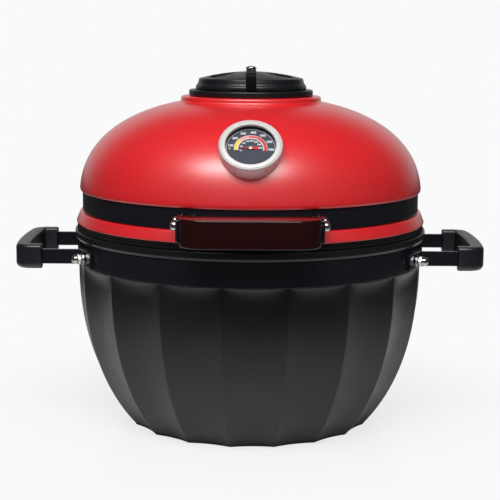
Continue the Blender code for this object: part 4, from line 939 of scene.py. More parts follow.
def petal_tree():
    """Cuts a ring of petal openings through a round piece."""
    tree = Tree("kamado_petals", Petals="Int", First="Float", Template="Object")
    step = tree.math("DIVIDE", TURN, tree.given["Petals"])
    turn = tree.vector(0.0, 0.0, tree.math("MULTIPLY_ADD", tree.index(), step, tree.given["First"]))
    petals = tree.copies(tree.points(tree.given["Petals"]), tree.template(), Rotation=turn)
    return tree.end(tree.taken_from(tree.given["Geometry"], petals))


def tick_tree():
    """Sets a template out along an arc about the origin, pointing outwards."""
    tree = Tree("kamado_ticks", Ticks="Int", Start="Float", Sweep="Float", Radius="Float", Template="Object")
    share = tree.math("DIVIDE", tree.index(), tree.math("SUBTRACT", tree.given["Ticks"], 1.0))
    turn = tree.math("MULTIPLY_ADD", share, tree.given["Sweep"], tree.given["Start"])
    x = tree.math("MULTIPLY", tree.math("COSINE", turn), tree.given["Radius"])
    y = tree.math("MULTIPLY", tree.math("SINE", turn), tree.given["Radius"])
    points = tree.placed(tree.points(tree.given["Ticks"]), Position=tree.vector(x, y))
    return tree.end(tree.copies(points, tree.template(), Rotation=tree.vector(0.0, 0.0, turn)))


def set_out(name, template, places, finish_name):
    """One object with a copy of a fastener at each place, which uses the template up."""
    mesh = bpy.data.meshes.new(name)
    mesh.from_pydata([place.translation for place in places], [], [])
    aims = mesh.attributes.new("aim", "FLOAT_VECTOR", "POINT")
    for point, place in zip(aims.data, places):
        point.vector = place.col[2].to_3d()
    return grown(linked(name, mesh), fastener_tree(), finish_name, Template=template)


def hexagon(name, radius, low, high, chamfer=0.0004):
    """A hexagonal block standing on the axis, with its corners taken off."""
    return bevelled(turned(name, rectangle(0, low, radius, high), 6), chamfer, 2)


def domed(name, radius, low, high, foot=0.0, steps=28):
    """A round head: a short upright foot under a dome."""
    dome = arc(0, low + foot, radius, math.pi / 2, 0, 8, high - low - foot)
    return turned(name, dome + [(radius, low), (0, low)], steps)


def bowl_radius(s, z, inset=0.0):
    """The bowl's radius at a height, on its outside or on a curve that lies inside it."""
    share = max(s.widest - z, 0) / (s.drop - inset)
    return (s.radius - inset) * (1 - share**s.power) ** (1 / s.power)


def dome_height(s, radius, inset=0.0):
    """The dome's height at a radius, on its outside or on a curve that lies inside it."""
    share = radius / (s.radius - inset)
    return s.foot + (s.rise - inset) * (1 - share**s.power) ** (1 / s.power)


def dome_curve(s, inset, top_radius, low, steps):
    """The dome's half section from a radius near the top down to a height."""
    wide, tall = s.radius - inset, s.rise - inset
    top = math.asin(((dome_height(s, top_radius, inset) - s.foot) / tall) ** (s.power / 2))
    end = math.asin(((low - s.foot) / tall) ** (s.power / 2))
    turns = [top + (end - top) * i / steps for i in range(steps + 1)]
    bend = 2 / s.power
    return [(wide * math.cos(t) ** bend, s.foot + tall * math.sin(t) ** bend) for t in turns]


def bare_inside(obj, is_inside):
    """Leaves the inside of a glazed piece bare: its faces take a second finish."""
    obj.data.materials.append(finish("bare_clay"))
    for face in obj.data.polygons:
        if is_inside(math.hypot(face.center.x, face.center.y), face.center.z):
            face.material_index = 1


class KAMADO_OT_bowl(bpy.types.Operator):
    """Makes the fluted ceramic bowl"""

    bl_idname = "kamado.bowl"
    bl_label = "Bowl"

    def execute(self, context):
        s = context.scene.kamado_bowl
        scoop_rows, wall_rows, inner_rows, steps = 18, 56, 22, 20
        start = s.shoulder - s.scoop
        heights = [s.shoulder - s.scoop * (i / scoop_rows) ** 2 for i in range(scoop_rows + 1)]
        heights += [start + (s.foot_edge - start) * i / wall_rows for i in range(1, wall_rows + 1)]
        outer = [(bowl_radius(s, z), z) for z in heights]
        foot_r = outer[-1][0] - s.foot_edge
        outer += arc(foot_r, s.foot_edge, s.foot_edge, 0, -math.pi / 2, 5)[1:]
        foot_wide, slope, hollow = 0.014, 0.002, 0.0012
        under = [(foot_r - foot_wide, 0), (foot_r - foot_wide - slope, hollow), (0, hollow)]
        inner_r = s.radius - s.wall
        heights = [s.floor + (s.widest - s.floor) * i / inner_rows for i in range(inner_rows + 1)]
        inner = [(0, s.floor)] + [(bowl_radius(s, z, s.wall), z) for z in heights]
        section = [
            (inner_r, s.widest),
            (inner_r, s.rim),
            (s.lip, s.rim),
            (s.lip, s.groove_top + s.chamfer),
            (s.lip - 0.7 * s.chamfer, s.groove_top),
            (s.groove, s.groove_top),
        ]
        lip = fillet(section, [0, 0.002, s.lip_edge, 0.0012, 0.0005, 0], 6, loop=False)
        profile = inner + lip[1:] + [(s.groove, s.shoulder + 0.0004)] + outer + under
        shares = [(1 - math.cos(math.pi * i / steps)) / 2 for i in range(steps)]
        turns = [TURN * (f + u) / s.flutes + s.flute_turn for f in range(s.flutes) for u in shares]
        bowl = turned("bowl", profile, angles=turns)
        marks = bowl.data.attributes.new("fluted", "FLOAT", "POINT")
        for mark, vertex in zip(marks.data, bowl.data.vertices):
            x, y, z = vertex.co
            outside = z < s.shoulder + MERGE and math.hypot(x, y) > bowl_radius(s, z) - s.wall / 2
            mark.value = 1.0 if outside else 0.0
        grown(
            bowl,
            flute_tree(),
            "glazed_charcoal",
            Flutes=s.flutes,
            Depth=s.flute_depth,
            Foot=s.foot_depth,
            Shoulder=s.shoulder,
            Scoop=s.scoop,
            Turn=s.flute_turn,
            Ridge=s.ridge,
        )
        inlet = rectangle(-s.inlet_half, s.radius / 2, s.inlet_half, s.radius + s.wall)
        cut(bowl, prism("inlet", inlet, s.inlet_low, s.inlet_top))

        def is_inside(radius, z):
            limit = bowl_radius(s, z) - s.wall / 2 if z < s.widest else inner_r + 0.0005
            return radius < limit and z > s.floor / 2

        bare_inside(bowl, is_inside)
        dress(bowl, "glazed_charcoal", "base", "base_bowl")
        return {"FINISHED"}


class KAMADO_OT_dome(bpy.types.Operator):
    """Makes the domed ceramic lid with its collar, lip and band groove"""

    bl_idname = "kamado.dome"
    bl_label = "Dome"

    def execute(self, context):
        s = context.scene.kamado_lid
        hollow_r = s.collar + s.collar_foot
        section = [
            (s.chimney, s.collar_top - 0.01),
            (s.chimney, s.collar_top),
            (s.collar, s.collar_top),
            (s.collar, dome_height(s, s.collar)),
            (hollow_r, dome_height(s, hollow_r)),
        ]
        collar = fillet(section, [0, 0.0012, 0.0032, 0.003, 0], 6, loop=False)
        outer = dome_curve(s, 0, hollow_r, s.groove_top + s.edge, 46)
        edge_r = outer[-1][0]
        under = arc(edge_r - s.edge / 2, s.groove_top + s.edge, s.edge / 2, 0, -math.pi / 2, 6, s.edge)
        inner_r = s.radius - s.wall
        section = [
            (s.groove, s.groove_top),
            (s.groove, s.groove_low),
            (s.lip_top, s.groove_low),
            (s.lip, s.rim + 0.0012),
            (s.lip - 0.0008, s.rim),
            (inner_r, s.rim),
            (inner_r, s.foot),
        ]
        lip = fillet(section, [0, 0, 0.0012, 0.0012, 0.0006, 0.002, 0], 4, loop=False)
        inner = list(reversed(dome_curve(s, s.wall, s.chimney, s.foot, 26)))
        dome = turned("dome", collar[:-1] + outer + under[1:] + lip[:-1] + inner, 240)
        dome.data.materials.append(finish("glazed_red"))

        def is_inside(radius, z):
            if radius < s.chimney + 0.0005:
                return True
            if radius >= inner_r + 0.002:
                return False
            skin = dome_height(s, min(radius, inner_r)) - s.wall / 2
            return z < s.rim + 0.02 or s.foot - 0.001 <= z < skin

        bare_inside(dome, is_inside)
        dress(dome, "glazed_red", "lid", "lid_dome")
        return {"FINISHED"}


def band(name, radius, low, tall, s):
    """A steel band round a shell, split at the rear."""
    gap = s.split / 2 / radius
    path = arc(0, 0, radius - s.thick / 2, math.pi / 2 + gap, math.pi * 2.5 - gap, 240)
    place = Matrix.Translation((0, 0, low + tall / 2))
    return swept(name, path, rounded(s.thick, tall, s.edge), place)


class KAMADO_OT_bands(bpy.types.Operator):
    """Makes the two steel bands"""

    bl_idname = "kamado.bands"
    bl_label = "Bands"

    def execute(self, context):
        s = context.scene.kamado_bands
        lower = band("lower_band", s.base_radius, s.base_low, s.base_tall, s)
        dress(lower, "coated_steel", "base", "base_band")
        parts = [band("upper_band", s.lid_radius, s.lid_low, s.lid_tall, s)]
        outline = fillet(rectangle(-s.ear_front, s.ear_low, -s.ear_back, s.ear_top), [0.004, 0, 0, 0.004])
        parts += [plate("ear", outline, s.ear_inside, s.ear_thick, sign, 0.0003) for side, sign in SIDES]
        dress(joined("upper_band_eared", parts), "coated_steel", "lid", "lid_band")
        return {"FINISHED"}


class KAMADO_OT_felt(bpy.types.Operator):
    """Makes the two felt rings between bowl and lid"""

    bl_idname = "kamado.felt"
    bl_label = "Felt rings"

    def execute(self, context):
        s = context.scene.kamado_bands
        middle, half = (s.felt_inner + s.felt_outer) / 2, s.felt_thick / 2
        section = rounded(s.felt_outer - s.felt_inner, s.felt_thick, 0.0011, 5)
        for body, low in (("base", s.felt_base), ("lid", s.felt_lid)):
            ring = turned(f"felt_{body}", [(middle + x, low + half + y) for x, y in section], 240)
            grown(ring, felt_tree(), "felt", Height=s.felt_rough, Scale=420.0)
            dress(ring, "felt", body, f"{body}_gasket")
        return {"FINISHED"}


class KAMADO_OT_fire_parts(bpy.types.Operator):
    """Makes the fire box, the fire ring and the charcoal grate"""

    bl_idname = "kamado.fire_parts"
    bl_label = "Fire parts"

    def execute(self, context):
        s = context.scene.kamado_fire
        slope = (s.box_rim - s.box_base) / (s.box_top - s.box_low)
        seat_r = s.box_base + slope * (s.ledge_top - s.box_low) - s.wall
        section = [
            (s.box_rim - s.wall, s.box_top),
            (s.box_rim, s.box_top),
            (s.box_base, s.box_low),
            (s.ledge, s.box_low),
            (s.ledge, s.ledge_top),
            (seat_r, s.ledge_top),
        ]
        fire_box = turned("fire_pot", fillet(section, [0.003, 0.003, 0.003, 0.002, 0.002, 0.001]), 96)
        half = 0.025
        inlet = rectangle(-half, s.ledge / 2, half, s.box_rim)
        cut(fire_box, prism("fire_inlet", inlet, 0, s.ledge_top - s.grate_thick))
        dress(fire_box, "fire_clay", "base", "fire_box")

        section = [
            (s.ring_rim - s.wall, s.ring_top),
            (s.ring_rim, s.ring_top),
            (s.box_rim, s.ring_low),
            (s.box_rim - s.wall, s.ring_low),
        ]
        dress(turned("fire_collar", fillet(section, 0.003), 96), "fire_clay", "base", "fire_ring")

        edge, long, half = 0.0015, 0.15, s.slot_wide / 2
        low = s.ledge_top + GAP
        top = low + s.grate_thick
        section = [(0, low), (s.grate - edge, low), (s.grate, low + edge)]
        section += [(s.grate, top - edge), (s.grate - edge, top), (0, top)]
        grate = turned("coal_grate", section, 72)
        slot = fillet(rectangle(-half, -long / 2, half, long / 2), 0.9 * half, 6)
        cutter = prism("slot", slot, low - s.grate_thick, top + s.grate_thick)
        grown(
            grate,
            grate_tree(),
            "bare_iron",
            Slots=s.slots,
            Pitch=s.slot_pitch,
            Radius=s.grate - s.slot_rim,
            Long=long,
            Template=cutter,
        )
        dress(grate, "bare_iron", "base", "charcoal_grate")
        return {"FINISHED"}


class KAMADO_OT_cooking_grid(bpy.types.Operator):
    """Makes the wire cooking grid"""

    bl_idname = "kamado.cooking_grid"
    bl_label = "Cooking grid"

    def execute(self, context):
        s = context.scene.kamado_fire
        wire = [(s.grid + x, s.grid_high + z) for x, z in arc(0, 0, s.wire, 0, TURN, 16)[:-1]]
        grid = turned("wire_grid", wire, 120)
        grown(
            grid,
            grid_tree(),
            "steel",
            Bars=s.bars,
            Pitch=s.bar_pitch,
            Radius=s.grid,
            Wire=s.bar,
            Height=s.grid_high,
        )
        dress(grid, "steel", "base", "cooking_grid")
        return {"FINISHED"}


class KAMADO_OT_draft(bpy.types.Operator):
    """Makes the rear air inlet with its sliding door"""

    bl_idname = "kamado.draft"
    bl_label = "Draft door"

    def execute(self, context):
        dress(softened("inlet_frame", "draft_frame", 0.0004), "steel", "base", "draft_frame")
        thick, half = 0.0018, math.radians(11)
        low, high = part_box("draft_door")
        radius = high.y - thick / 2
        path = arc(0, 0, radius, math.pi / 2 - half, math.pi / 2 + half, 24)
        place = Matrix.Translation((0, 0, (low.z + high.z) / 2))
        door = swept("inlet_door", path, rounded(thick, high.z - low.z, 0.0005), place)
        dress(door, "steel", "draft_door", "draft_door")
        low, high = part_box("draft_door_knob")
        reach, neck_r, pin_r, foot, tail = high.y - radius, 0.0038, 0.002, 0.0012, -0.0006
        section = [
            (0, reach),
            (0.0046, reach),
            (0.0055, reach - 0.0035),
            (neck_r, foot + 0.001),
            (neck_r, foot),
            (pin_r, foot),
            (pin_r, tail),
            (0, tail),
        ]
        section = fillet(section, [0, 0.0015, 0.0015, 0.0004, 0.0003, 0, 0, 0], 6, loop=False)
        knob = turned("inlet_knob", section, 40, aimed((0, radius, (low.z + high.z) / 2), Y_AXIS))
        dress(knob, "moulded_black", "draft_door", "draft_door_knob")
        return {"FINISHED"}


class KAMADO_OT_side_handles(bpy.types.Operator):
    """Makes the two steel straps and their plastic grips"""

    bl_idname = "kamado.side_handles"
    bl_label = "Side handles"

    def execute(self, context):
        s = context.scene.kamado_handles
        arm = math.asin(s.strap_arm / s.strap_foot)
        foot_steps = 10
        foot = arc(0, 0, s.strap_foot, -s.foot_from, -arm, foot_steps)
        ends = [(s.strap_reach, -s.strap_arm), (s.strap_reach, 0)]
        bends = [0] * foot_steps + [0.004, s.strap_bend, 0]
        strap = doubled(fillet(foot + ends, bends, 7, loop=False)[:-1])
        shares = (1, 0.6, 0.45, 0.3, 0.15, 0)
        bow = [(s.strap_reach + s.grip_bow * (0.85 - t * t), -s.strap_arm * t) for t in shares]
        bends = [0, s.grip_bend] + [0] * (len(shares) - 1)
        grip = doubled(fillet([(s.grip_start, -s.strap_arm), *bow], bends, 8, loop=False)[:-1])
        flat = rounded(s.strap_thick, s.strap_tall, 0.0006)
        section = rounded(s.grip_wide, s.grip_tall, [0.003, 0.006, 0.0038, 0.003], 6)
        place = Matrix.Translation((0, 0, s.strap_high))
        for side, sign in SIDES:
            piece = swept(f"strap_{side}", mirrored(strap, sign), flat, place)
            dress(piece, "coated_steel", "base", f"side_strap_{side}")
            cover = swept(f"grip_{side}", mirrored(grip, sign), mirrored(section, sign), place)
            dress(bevelled(cover, 0.0008, 2, 60), "moulded_black", "base", f"side_grip_{side}")
        return {"FINISHED"}


class KAMADO_OT_side_fasteners(bpy.types.Operator):
    """Makes the studs and domed nuts that hold the side handles"""

    bl_idname = "kamado.side_fasteners"
    bl_label = "Side fasteners"

    def execute(self, context):
        s = context.scene.kamado_handles
        x, y = math.cos(s.stud_turn), math.sin(s.stud_turn)
        outs = [(sign * x, end * y, 0) for sign in (-1, 1) for end in (-1, 1)]
        places = around(s.stud_seat, s.strap_high, outs)
        names = [f"{side}_{end}" for side, sign in SIDES for end in ("front", "rear")]
        radius, tip, tail = 0.003, 0.0136, -0.002
        section = [(0, tip), (radius - 0.0004, tip), (radius, tip - 0.0006), (radius, tail), (0, tail)]
        studs = set_out("side_studs", turned("stud", section, 24), places, "steel")
        dress(studs, "steel", "base", *[f"side_stud_{name}" for name in names])
        face, cap_top = 0.0036, 0.0156
        washer = turned("washer", fillet(rectangle(radius + GAP, face, 0.0058, face + 0.0015), 0.0004, 3), 36)
        nut = hexagon("nut", 0.0057, face + 0.0012, face + 0.0062)
        cap = domed("cap", 0.0042, face + 0.0058, cap_top, 0.0018)
        nuts = set_out("side_nuts", joined("side_nut", [washer, nut, cap]), places, "steel")
        dress(nuts, "steel", "base", *[f"side_nut_{name}" for name in names])
        return {"FINISHED"}


def hex_bolt(radius, face, shank, tail):
    """A hexagonal bolt over a washer on a plate's face, with its shank through the plate."""
    washer_r, washer_top, seat = 1.15 * radius, face + 0.0008, face + 0.0006
    section = fillet(rectangle(0, face, washer_r, washer_top), [0, 0.0002, 0.0002, 0], 3, loop=False)
    washer = turned("washer", section, 36)
    head = hexagon("head", radius, seat, face + 0.0038)
    pin = turned("pin", rectangle(0, seat, shank, tail), 24)
    return joined("hex_bolt", [washer, head, pin])


class KAMADO_OT_hinge(bpy.types.Operator):
    """Makes the rear hinge: two brackets, their bolts, the pin and its clip"""

    bl_idname = "kamado.hinge"
    bl_label = "Hinge"

    def execute(self, context):
        s = context.scene.kamado_bands
        outs = [(sign * math.sin(s.hinge_turn), math.cos(s.hinge_turn), 0) for sign in (-1, 1)]
        rows = (
            ("base", s.base_radius, s.base_low + s.base_tall / 2),
            ("lid", s.lid_radius, s.lid_low + s.lid_tall / 2),
        )
        for body, radius, z in rows:
            bracket = softened(f"hinge_plate_{body}", f"hinge_{body}_bracket", 0.0005)
            dress(bracket, "coated_steel", body, f"hinge_{body}_bracket")
            bolt = hex_bolt(0.005, 0.0033, 0.0025, -0.0017)
            bolts = set_out(f"hinge_bolts_{body}", bolt, around(radius, z, outs), "steel")
            dress(bolts, "steel", body, f"hinge_{body}_bolt_left", f"hinge_{body}_bolt_right")
        low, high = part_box("hinge_pin")
        place = aimed((0, (low.y + high.y) / 2, (low.z + high.z) / 2), X_AXIS)
        rod, head, neck = 0.003, 0.005, low.x + 0.0025
        section = [(0, high.x), (rod, high.x), (rod, neck), (head, neck), (head, low.x), (0, low.x)]
        section = fillet(section, [0, 0.0008, 0, 0.0005, 0.0012, 0], 4, loop=False)
        dress(turned("hinge_rod", section, 32, place), "steel", "base", "hinge_pin")
        low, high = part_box("hinge_pin_clip")
        section = fillet(rectangle(rod + GAP, low.x, head, high.x), 0.0005, 3)
        dress(turned("hinge_clip", section, 32, place), "steel", "base", "hinge_pin_clip")
        return {"FINISHED"}


class KAMADO_OT_lid_handle(bpy.types.Operator):
    """Makes the lacquered bar on the lid and its two steel lugs"""

    bl_idname = "kamado.lid_handle"
    bl_label = "Lid handle"

    def execute(self, context):
        s = context.scene.kamado_handles
        cheek = 0.015
        wide = s.bar_half - s.bar_flat
        deep = s.bar_front - s.bar_back - cheek
        middle = -s.bar_front + deep
        left = arc(-s.bar_flat, middle, wide, -math.pi, -math.pi / 2, 14, deep)
        right = arc(s.bar_flat, middle, wide, -math.pi / 2, 0, 14, deep)
        outline = left + right + [(s.bar_half, -s.bar_back), (-s.bar_half, -s.bar_back)]
        bar = prism("handle_bar", outline, s.bar_low, s.bar_low + s.bar_tall)
        dress(bevelled(bar, s.bar_edge, 5, 40), "lacquer", "lid", "lid_handle")
        knee, heel = 0.1683, 0.1758
        outline = [
            (-s.lug_front, s.lug_low),
            (-s.lug_front, s.lug_top),
            (-s.lug_back, s.lug_top),
            (-s.lug_back, s.lug_step),
            (-knee, s.lug_step),
            (-heel, s.lug_low),
        ]
        outline = fillet(outline, [0.004, 0.004, 0.002, 0.002, 0.004, 0.004], 6)
        for side, sign in SIDES:
            lug = plate(f"lug_{side}", outline, s.lug_inside, s.lug_thick, sign, 0.0004)
            dress(lug, "coated_steel", "lid", f"lid_handle_lug_{side}")
        return {"FINISHED"}


class KAMADO_OT_lid_fasteners(bpy.types.Operator):
    """Makes the screws, bolts and nuts of the lid's handle"""

    bl_idname = "kamado.lid_fasteners"
    bl_label = "Lid fasteners"

    def execute(self, context):
        s = context.scene.kamado_handles
        radius, edge = 0.0026, 0.0005
        lug = s.lug_inside + s.lug_thick
        rows = (
            ("handle_screws", "lid_handle_screw", s.screw_out, -0.0171),
            ("lug_bolts", "lug_bolt", s.bolt_out, -0.0105),
        )
        for name, node, out, tail in rows:
            head = domed("head", 1.7 * radius, GAP, 2 * radius, 0.0018)
            section = [(0, 0.001), (radius, 0.001), (radius, tail + edge), (radius - edge, tail), (0, tail)]
            screw = joined("screw", [head, turned("shank", section, 20)])
            places = [aimed((sign * lug, -out, s.bolt_high), X_AXIS * sign) for side, sign in SIDES]
            screws = set_out(name, screw, places, "steel")
            dress(screws, "steel", "lid", f"{node}_left", f"{node}_right")
        ear = context.scene.kamado_bands.ear_inside - GAP
        nut = hexagon("nut", 2 * radius, 0, 2 * radius)
        places = [aimed((sign * ear, -s.bolt_out, s.bolt_high), -X_AXIS * sign) for side, sign in SIDES]
        dress(set_out("lug_nuts", nut, places, "steel"), "steel", "lid", "lug_nut_left", "lug_nut_right")
        return {"FINISHED"}


def petal(s, low, high):
    """A cutter for one petal opening on the front side, narrow towards the middle."""
    spread = math.asin((s.petal_outer_r - s.petal_inner_r) / (s.petal_outer - s.petal_inner))
    quarter = math.pi / 2 + spread
    outline = arc(s.petal_outer, 0, s.petal_outer_r, -quarter, quarter, 20)
    outline += arc(s.petal_inner, 0, s.petal_inner_r, quarter, TURN - quarter, 12)
    return prism("petal", outline, low, high, Matrix.Rotation(-math.pi / 2, 4, "Z"))


class KAMADO_OT_vent(bpy.types.Operator):
    """Makes the cast vent: its flanged base and its cap"""

    bl_idname = "kamado.vent"
    bl_label = "Vent"

    def execute(self, context):
        s = context.scene.kamado_vent
        section = [
            (s.bore, s.flange_top),
            (s.flange, s.flange_top),
            (s.flange, s.flange_low),
            (s.spigot, s.flange_low),
            (s.spigot, s.spigot_low),
            (s.bore, s.spigot_low),
        ]
        base = turned("vent_collar", fillet(section, [0.001, 0.0016, 0.0016, 0.0005, 0.0012, 0.0012], 6), 144)
        dress(base, "cast_iron", "lid", "vent_base")

        rise, edge, low = s.crest - s.cap_edge, s.cap_edge, s.cap_low
        bore, flat, rows = s.bolt_bore, s.cap_top - 0.003, 16
        radii = [bore + (flat - bore) * i / rows for i in range(rows + 1)]
        crown = [(r, s.crest - rise * (r / s.cap_top) ** 2) for r in radii]
        section = [
            crown[-1],
            (s.cap_top - 0.0004, edge + 0.0002),
            (s.cap_top + 0.0008, edge - 0.0048),
            (s.cap - 0.0002, edge - 0.0068),
            (s.cap, low),
            (s.cap - s.cap_wall, low),
        ]
        skirt = fillet(section, [0, 0.0024, 0.006, 0.004, 0.0012, 0], 6, loop=False)
        under = [(r, z - s.cap_wall) for r, z in reversed(crown)]
        cap = turned("vent_crown", crown + skirt[1:] + under, 144)
        cutter = petal(s, low, s.crest + s.cap_wall)
        grown(cap, petal_tree(), "cast_iron", Petals=s.petals, First=math.pi, Template=cutter)
        dress(bevelled(cap, 0.0005, 2, 50), "cast_iron", "lid", "vent_cap")
        return {"FINISHED"}


class KAMADO_OT_damper(bpy.types.Operator):
    """Makes what turns in the vent: disc, bolt, lever and nut"""

    bl_idname = "kamado.damper"
    bl_label = "Damper"

    def execute(self, context):
        s = context.scene.kamado_vent
        low, top = s.disc_low, s.disc_low + s.disc_thick
        bore, hub, hub_top = s.bolt_bore, 0.008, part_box("damper_disc")[1].z
        section = [(bore, hub_top), (hub, hub_top), (hub, top), (s.disc, top), (s.disc, low), (bore, low)]
        disc = turned("damper_plate", fillet(section, [0, 0.001, 0.001, 0.0006, 0.0006, 0], 4), 96)
        cutter = petal(s, low - s.disc_thick, hub_top)
        grown(disc, petal_tree(), "cast_iron", Petals=s.petals, First=0.0, Template=cutter)
        dress(disc, "cast_iron", "damper", "damper_disc")

        hexagon_r, shank, edge = 0.0055, 0.003, 0.0004
        head_low, head_top, tip = 0.3354, 0.3384, 0.3542
        head = hexagon("head", hexagon_r, head_low, head_top)
        section = [(0, head_top), (shank, head_top - edge)]
        section += [(shank, tip - 0.0006), (shank - edge, tip), (0, tip)]
        screw = joined("damper_screw", [head, turned("shank", section, 24)])
        dress(screw, "steel", "damper", "damper_bolt")

        half, reach = 0.008, 0.058
        flat_z, bend_z, end_z = 0.3513, 0.3488, 0.3327
        path = [(half, flat_z), (-half, flat_z), (-reach, bend_z), (-reach, end_z)]
        path = fillet(path, [0, 0.02, 0.0032, 0], 10, loop=False)
        lever = swept("damper_handle", path, rounded(s.lever_thick, s.lever_wide, 0.0005), ACROSS)
        dress(bevelled(lever, 0.0004, 2, 60), "matt_iron", "damper", "damper_lever")

        seat = flat_z + s.lever_thick / 2 + GAP
        foot = hexagon("foot", hexagon_r, seat, seat + 0.0012)
        dome = domed("dome", 0.0047, seat + 0.0010, seat + 0.0027, 0.0003)
        dress(joined("acorn_nut", [foot, dome]), "steel", "damper", "damper_nut")
        return {"FINISHED"}


def face_place(s):
    """The placement of the thermometer's face, with Z out of the dome and Y up the slope."""
    out = Vector((0, -math.cos(s.tilt), math.sin(s.tilt)))
    up = Vector((0, math.sin(s.tilt), math.cos(s.tilt)))
    return aimed(Vector((0, -s.out, s.high)), out, up)


class KAMADO_OT_thermometer(bpy.types.Operator):
    """Makes the thermometer's case, bezel, window, stem and nut"""

    bl_idname = "kamado.thermometer"
    bl_label = "Thermometer"

    def execute(self, context):
        s = context.scene.kamado_thermometer
        place = face_place(s)
        bore, side = s.case - s.case_wall, s.case - 0.0006
        low, floor = -s.case_back, s.case_wall - s.case_back
        section = [(0, low), (side, low), (side, s.case_top), (bore, s.case_top), (bore, floor), (0, floor)]
        section = fillet(section, [0, 0.0006, 0.0005, 0.0003, 0.0005, 0], 4, loop=False)
        dress(turned("gauge_case", section, 120, place), "satin_case", "lid", "thermometer_case")

        high, foot = s.bezel_top, s.case_top + GAP
        groove = s.case - 0.0016
        section = [
            (s.opening, foot),
            (s.case, foot),
            (s.case, high - 0.0010),
            (groove + 0.0004, high - 0.0002),
            (groove, high - 0.0008),
            (groove - 0.0005, high),
            (s.opening + 0.0006, high + 0.0002),
            (s.opening, high - 0.0004),
        ]
        section = fillet(section, [0.0003, 0.0005, 0.0007, 0.0002, 0.0002, 0.0006, 0.0004, 0.0002], 5)
        dress(turned("gauge_bezel", section, 120, place), "chrome", "lid", "thermometer_bezel")

        clear, steps, bulge, thick = bore - 2 * GAP, 8, 0.0002, 0.001
        shares = [i / steps for i in range(steps + 1)]
        section = [(clear * t, s.case_top + bulge * (1 - t**2)) for t in shares]
        section += [(clear, s.case_top - thick), (0, s.case_top - thick)]
        dress(turned("gauge_window", section, 96, place), "glass", "lid", "thermometer_glass")

        bush, rod = 0.0045, 0.003
        bush_top, bush_low, rod_low, tip = 0.0015, -0.0268, -0.065, -0.068
        section = [(0, bush_top), (bush, bush_top), (bush, bush_low)]
        section += [(rod, bush_low), (rod, rod_low), (0, tip)]
        section = fillet(section, [0, 0.0003, 0.0006, 0, 0.002, 0], 5, loop=False)
        dress(turned("gauge_stem", section, 32, place), "steel", "lid", "thermometer_stem")
        nut_low, nut_top = -0.0218, -0.0168
        nut = hexagon("gauge_nut", 2 * bush, nut_low, nut_top, 0.0006)
        nut.data.transform(place)
        dress(nut, "steel", "lid", "thermometer_nut")
        return {"FINISHED"}


# Inks of the dial's print, as they look on a screen.
INKS = ((232, 233, 236), (246, 202, 62), (236, 150, 160), (222, 92, 104), (206, 50, 62))
WHITE, YELLOW, PALE, PINK, RED = range(5)
PRINT = 0.00004


def inked(obj, ink):
    """Marks every face of a printed part with its ink."""
    for face in obj.data.polygons:
        face.material_index = ink
    return obj


def stroke(inner, outer, start, end, ink, low):
    """A printed arc between two radii."""
    steps = max(6, int(abs(end - start) / math.radians(3)))
    outline = arc(0, 0, outer, start, end, steps) + arc(0, 0, inner, end, start, steps)
    return inked(prism("stroke", outline, low, low + PRINT), ink)


def figure(body, size, x, y, low):
    """A number or letter printed in white about a point."""
    curve = bpy.data.curves.new("figure", "FONT")
    curve.body = body
    curve.size = size
    curve.align_x = "CENTER"
    curve.align_y = "CENTER"
    curve.extrude = PRINT / 2
    curve.offset = size * 0.03
    text = linked("figure_text", curve)
    graph = bpy.context.evaluated_depsgraph_get()
    mesh = bpy.data.meshes.new_from_object(text.evaluated_get(graph), depsgraph=graph)
    bpy.data.objects.remove(text)
    mesh.transform(Matrix.Translation((x, y, low + PRINT / 2)))
    return inked(linked("figure", mesh), WHITE)


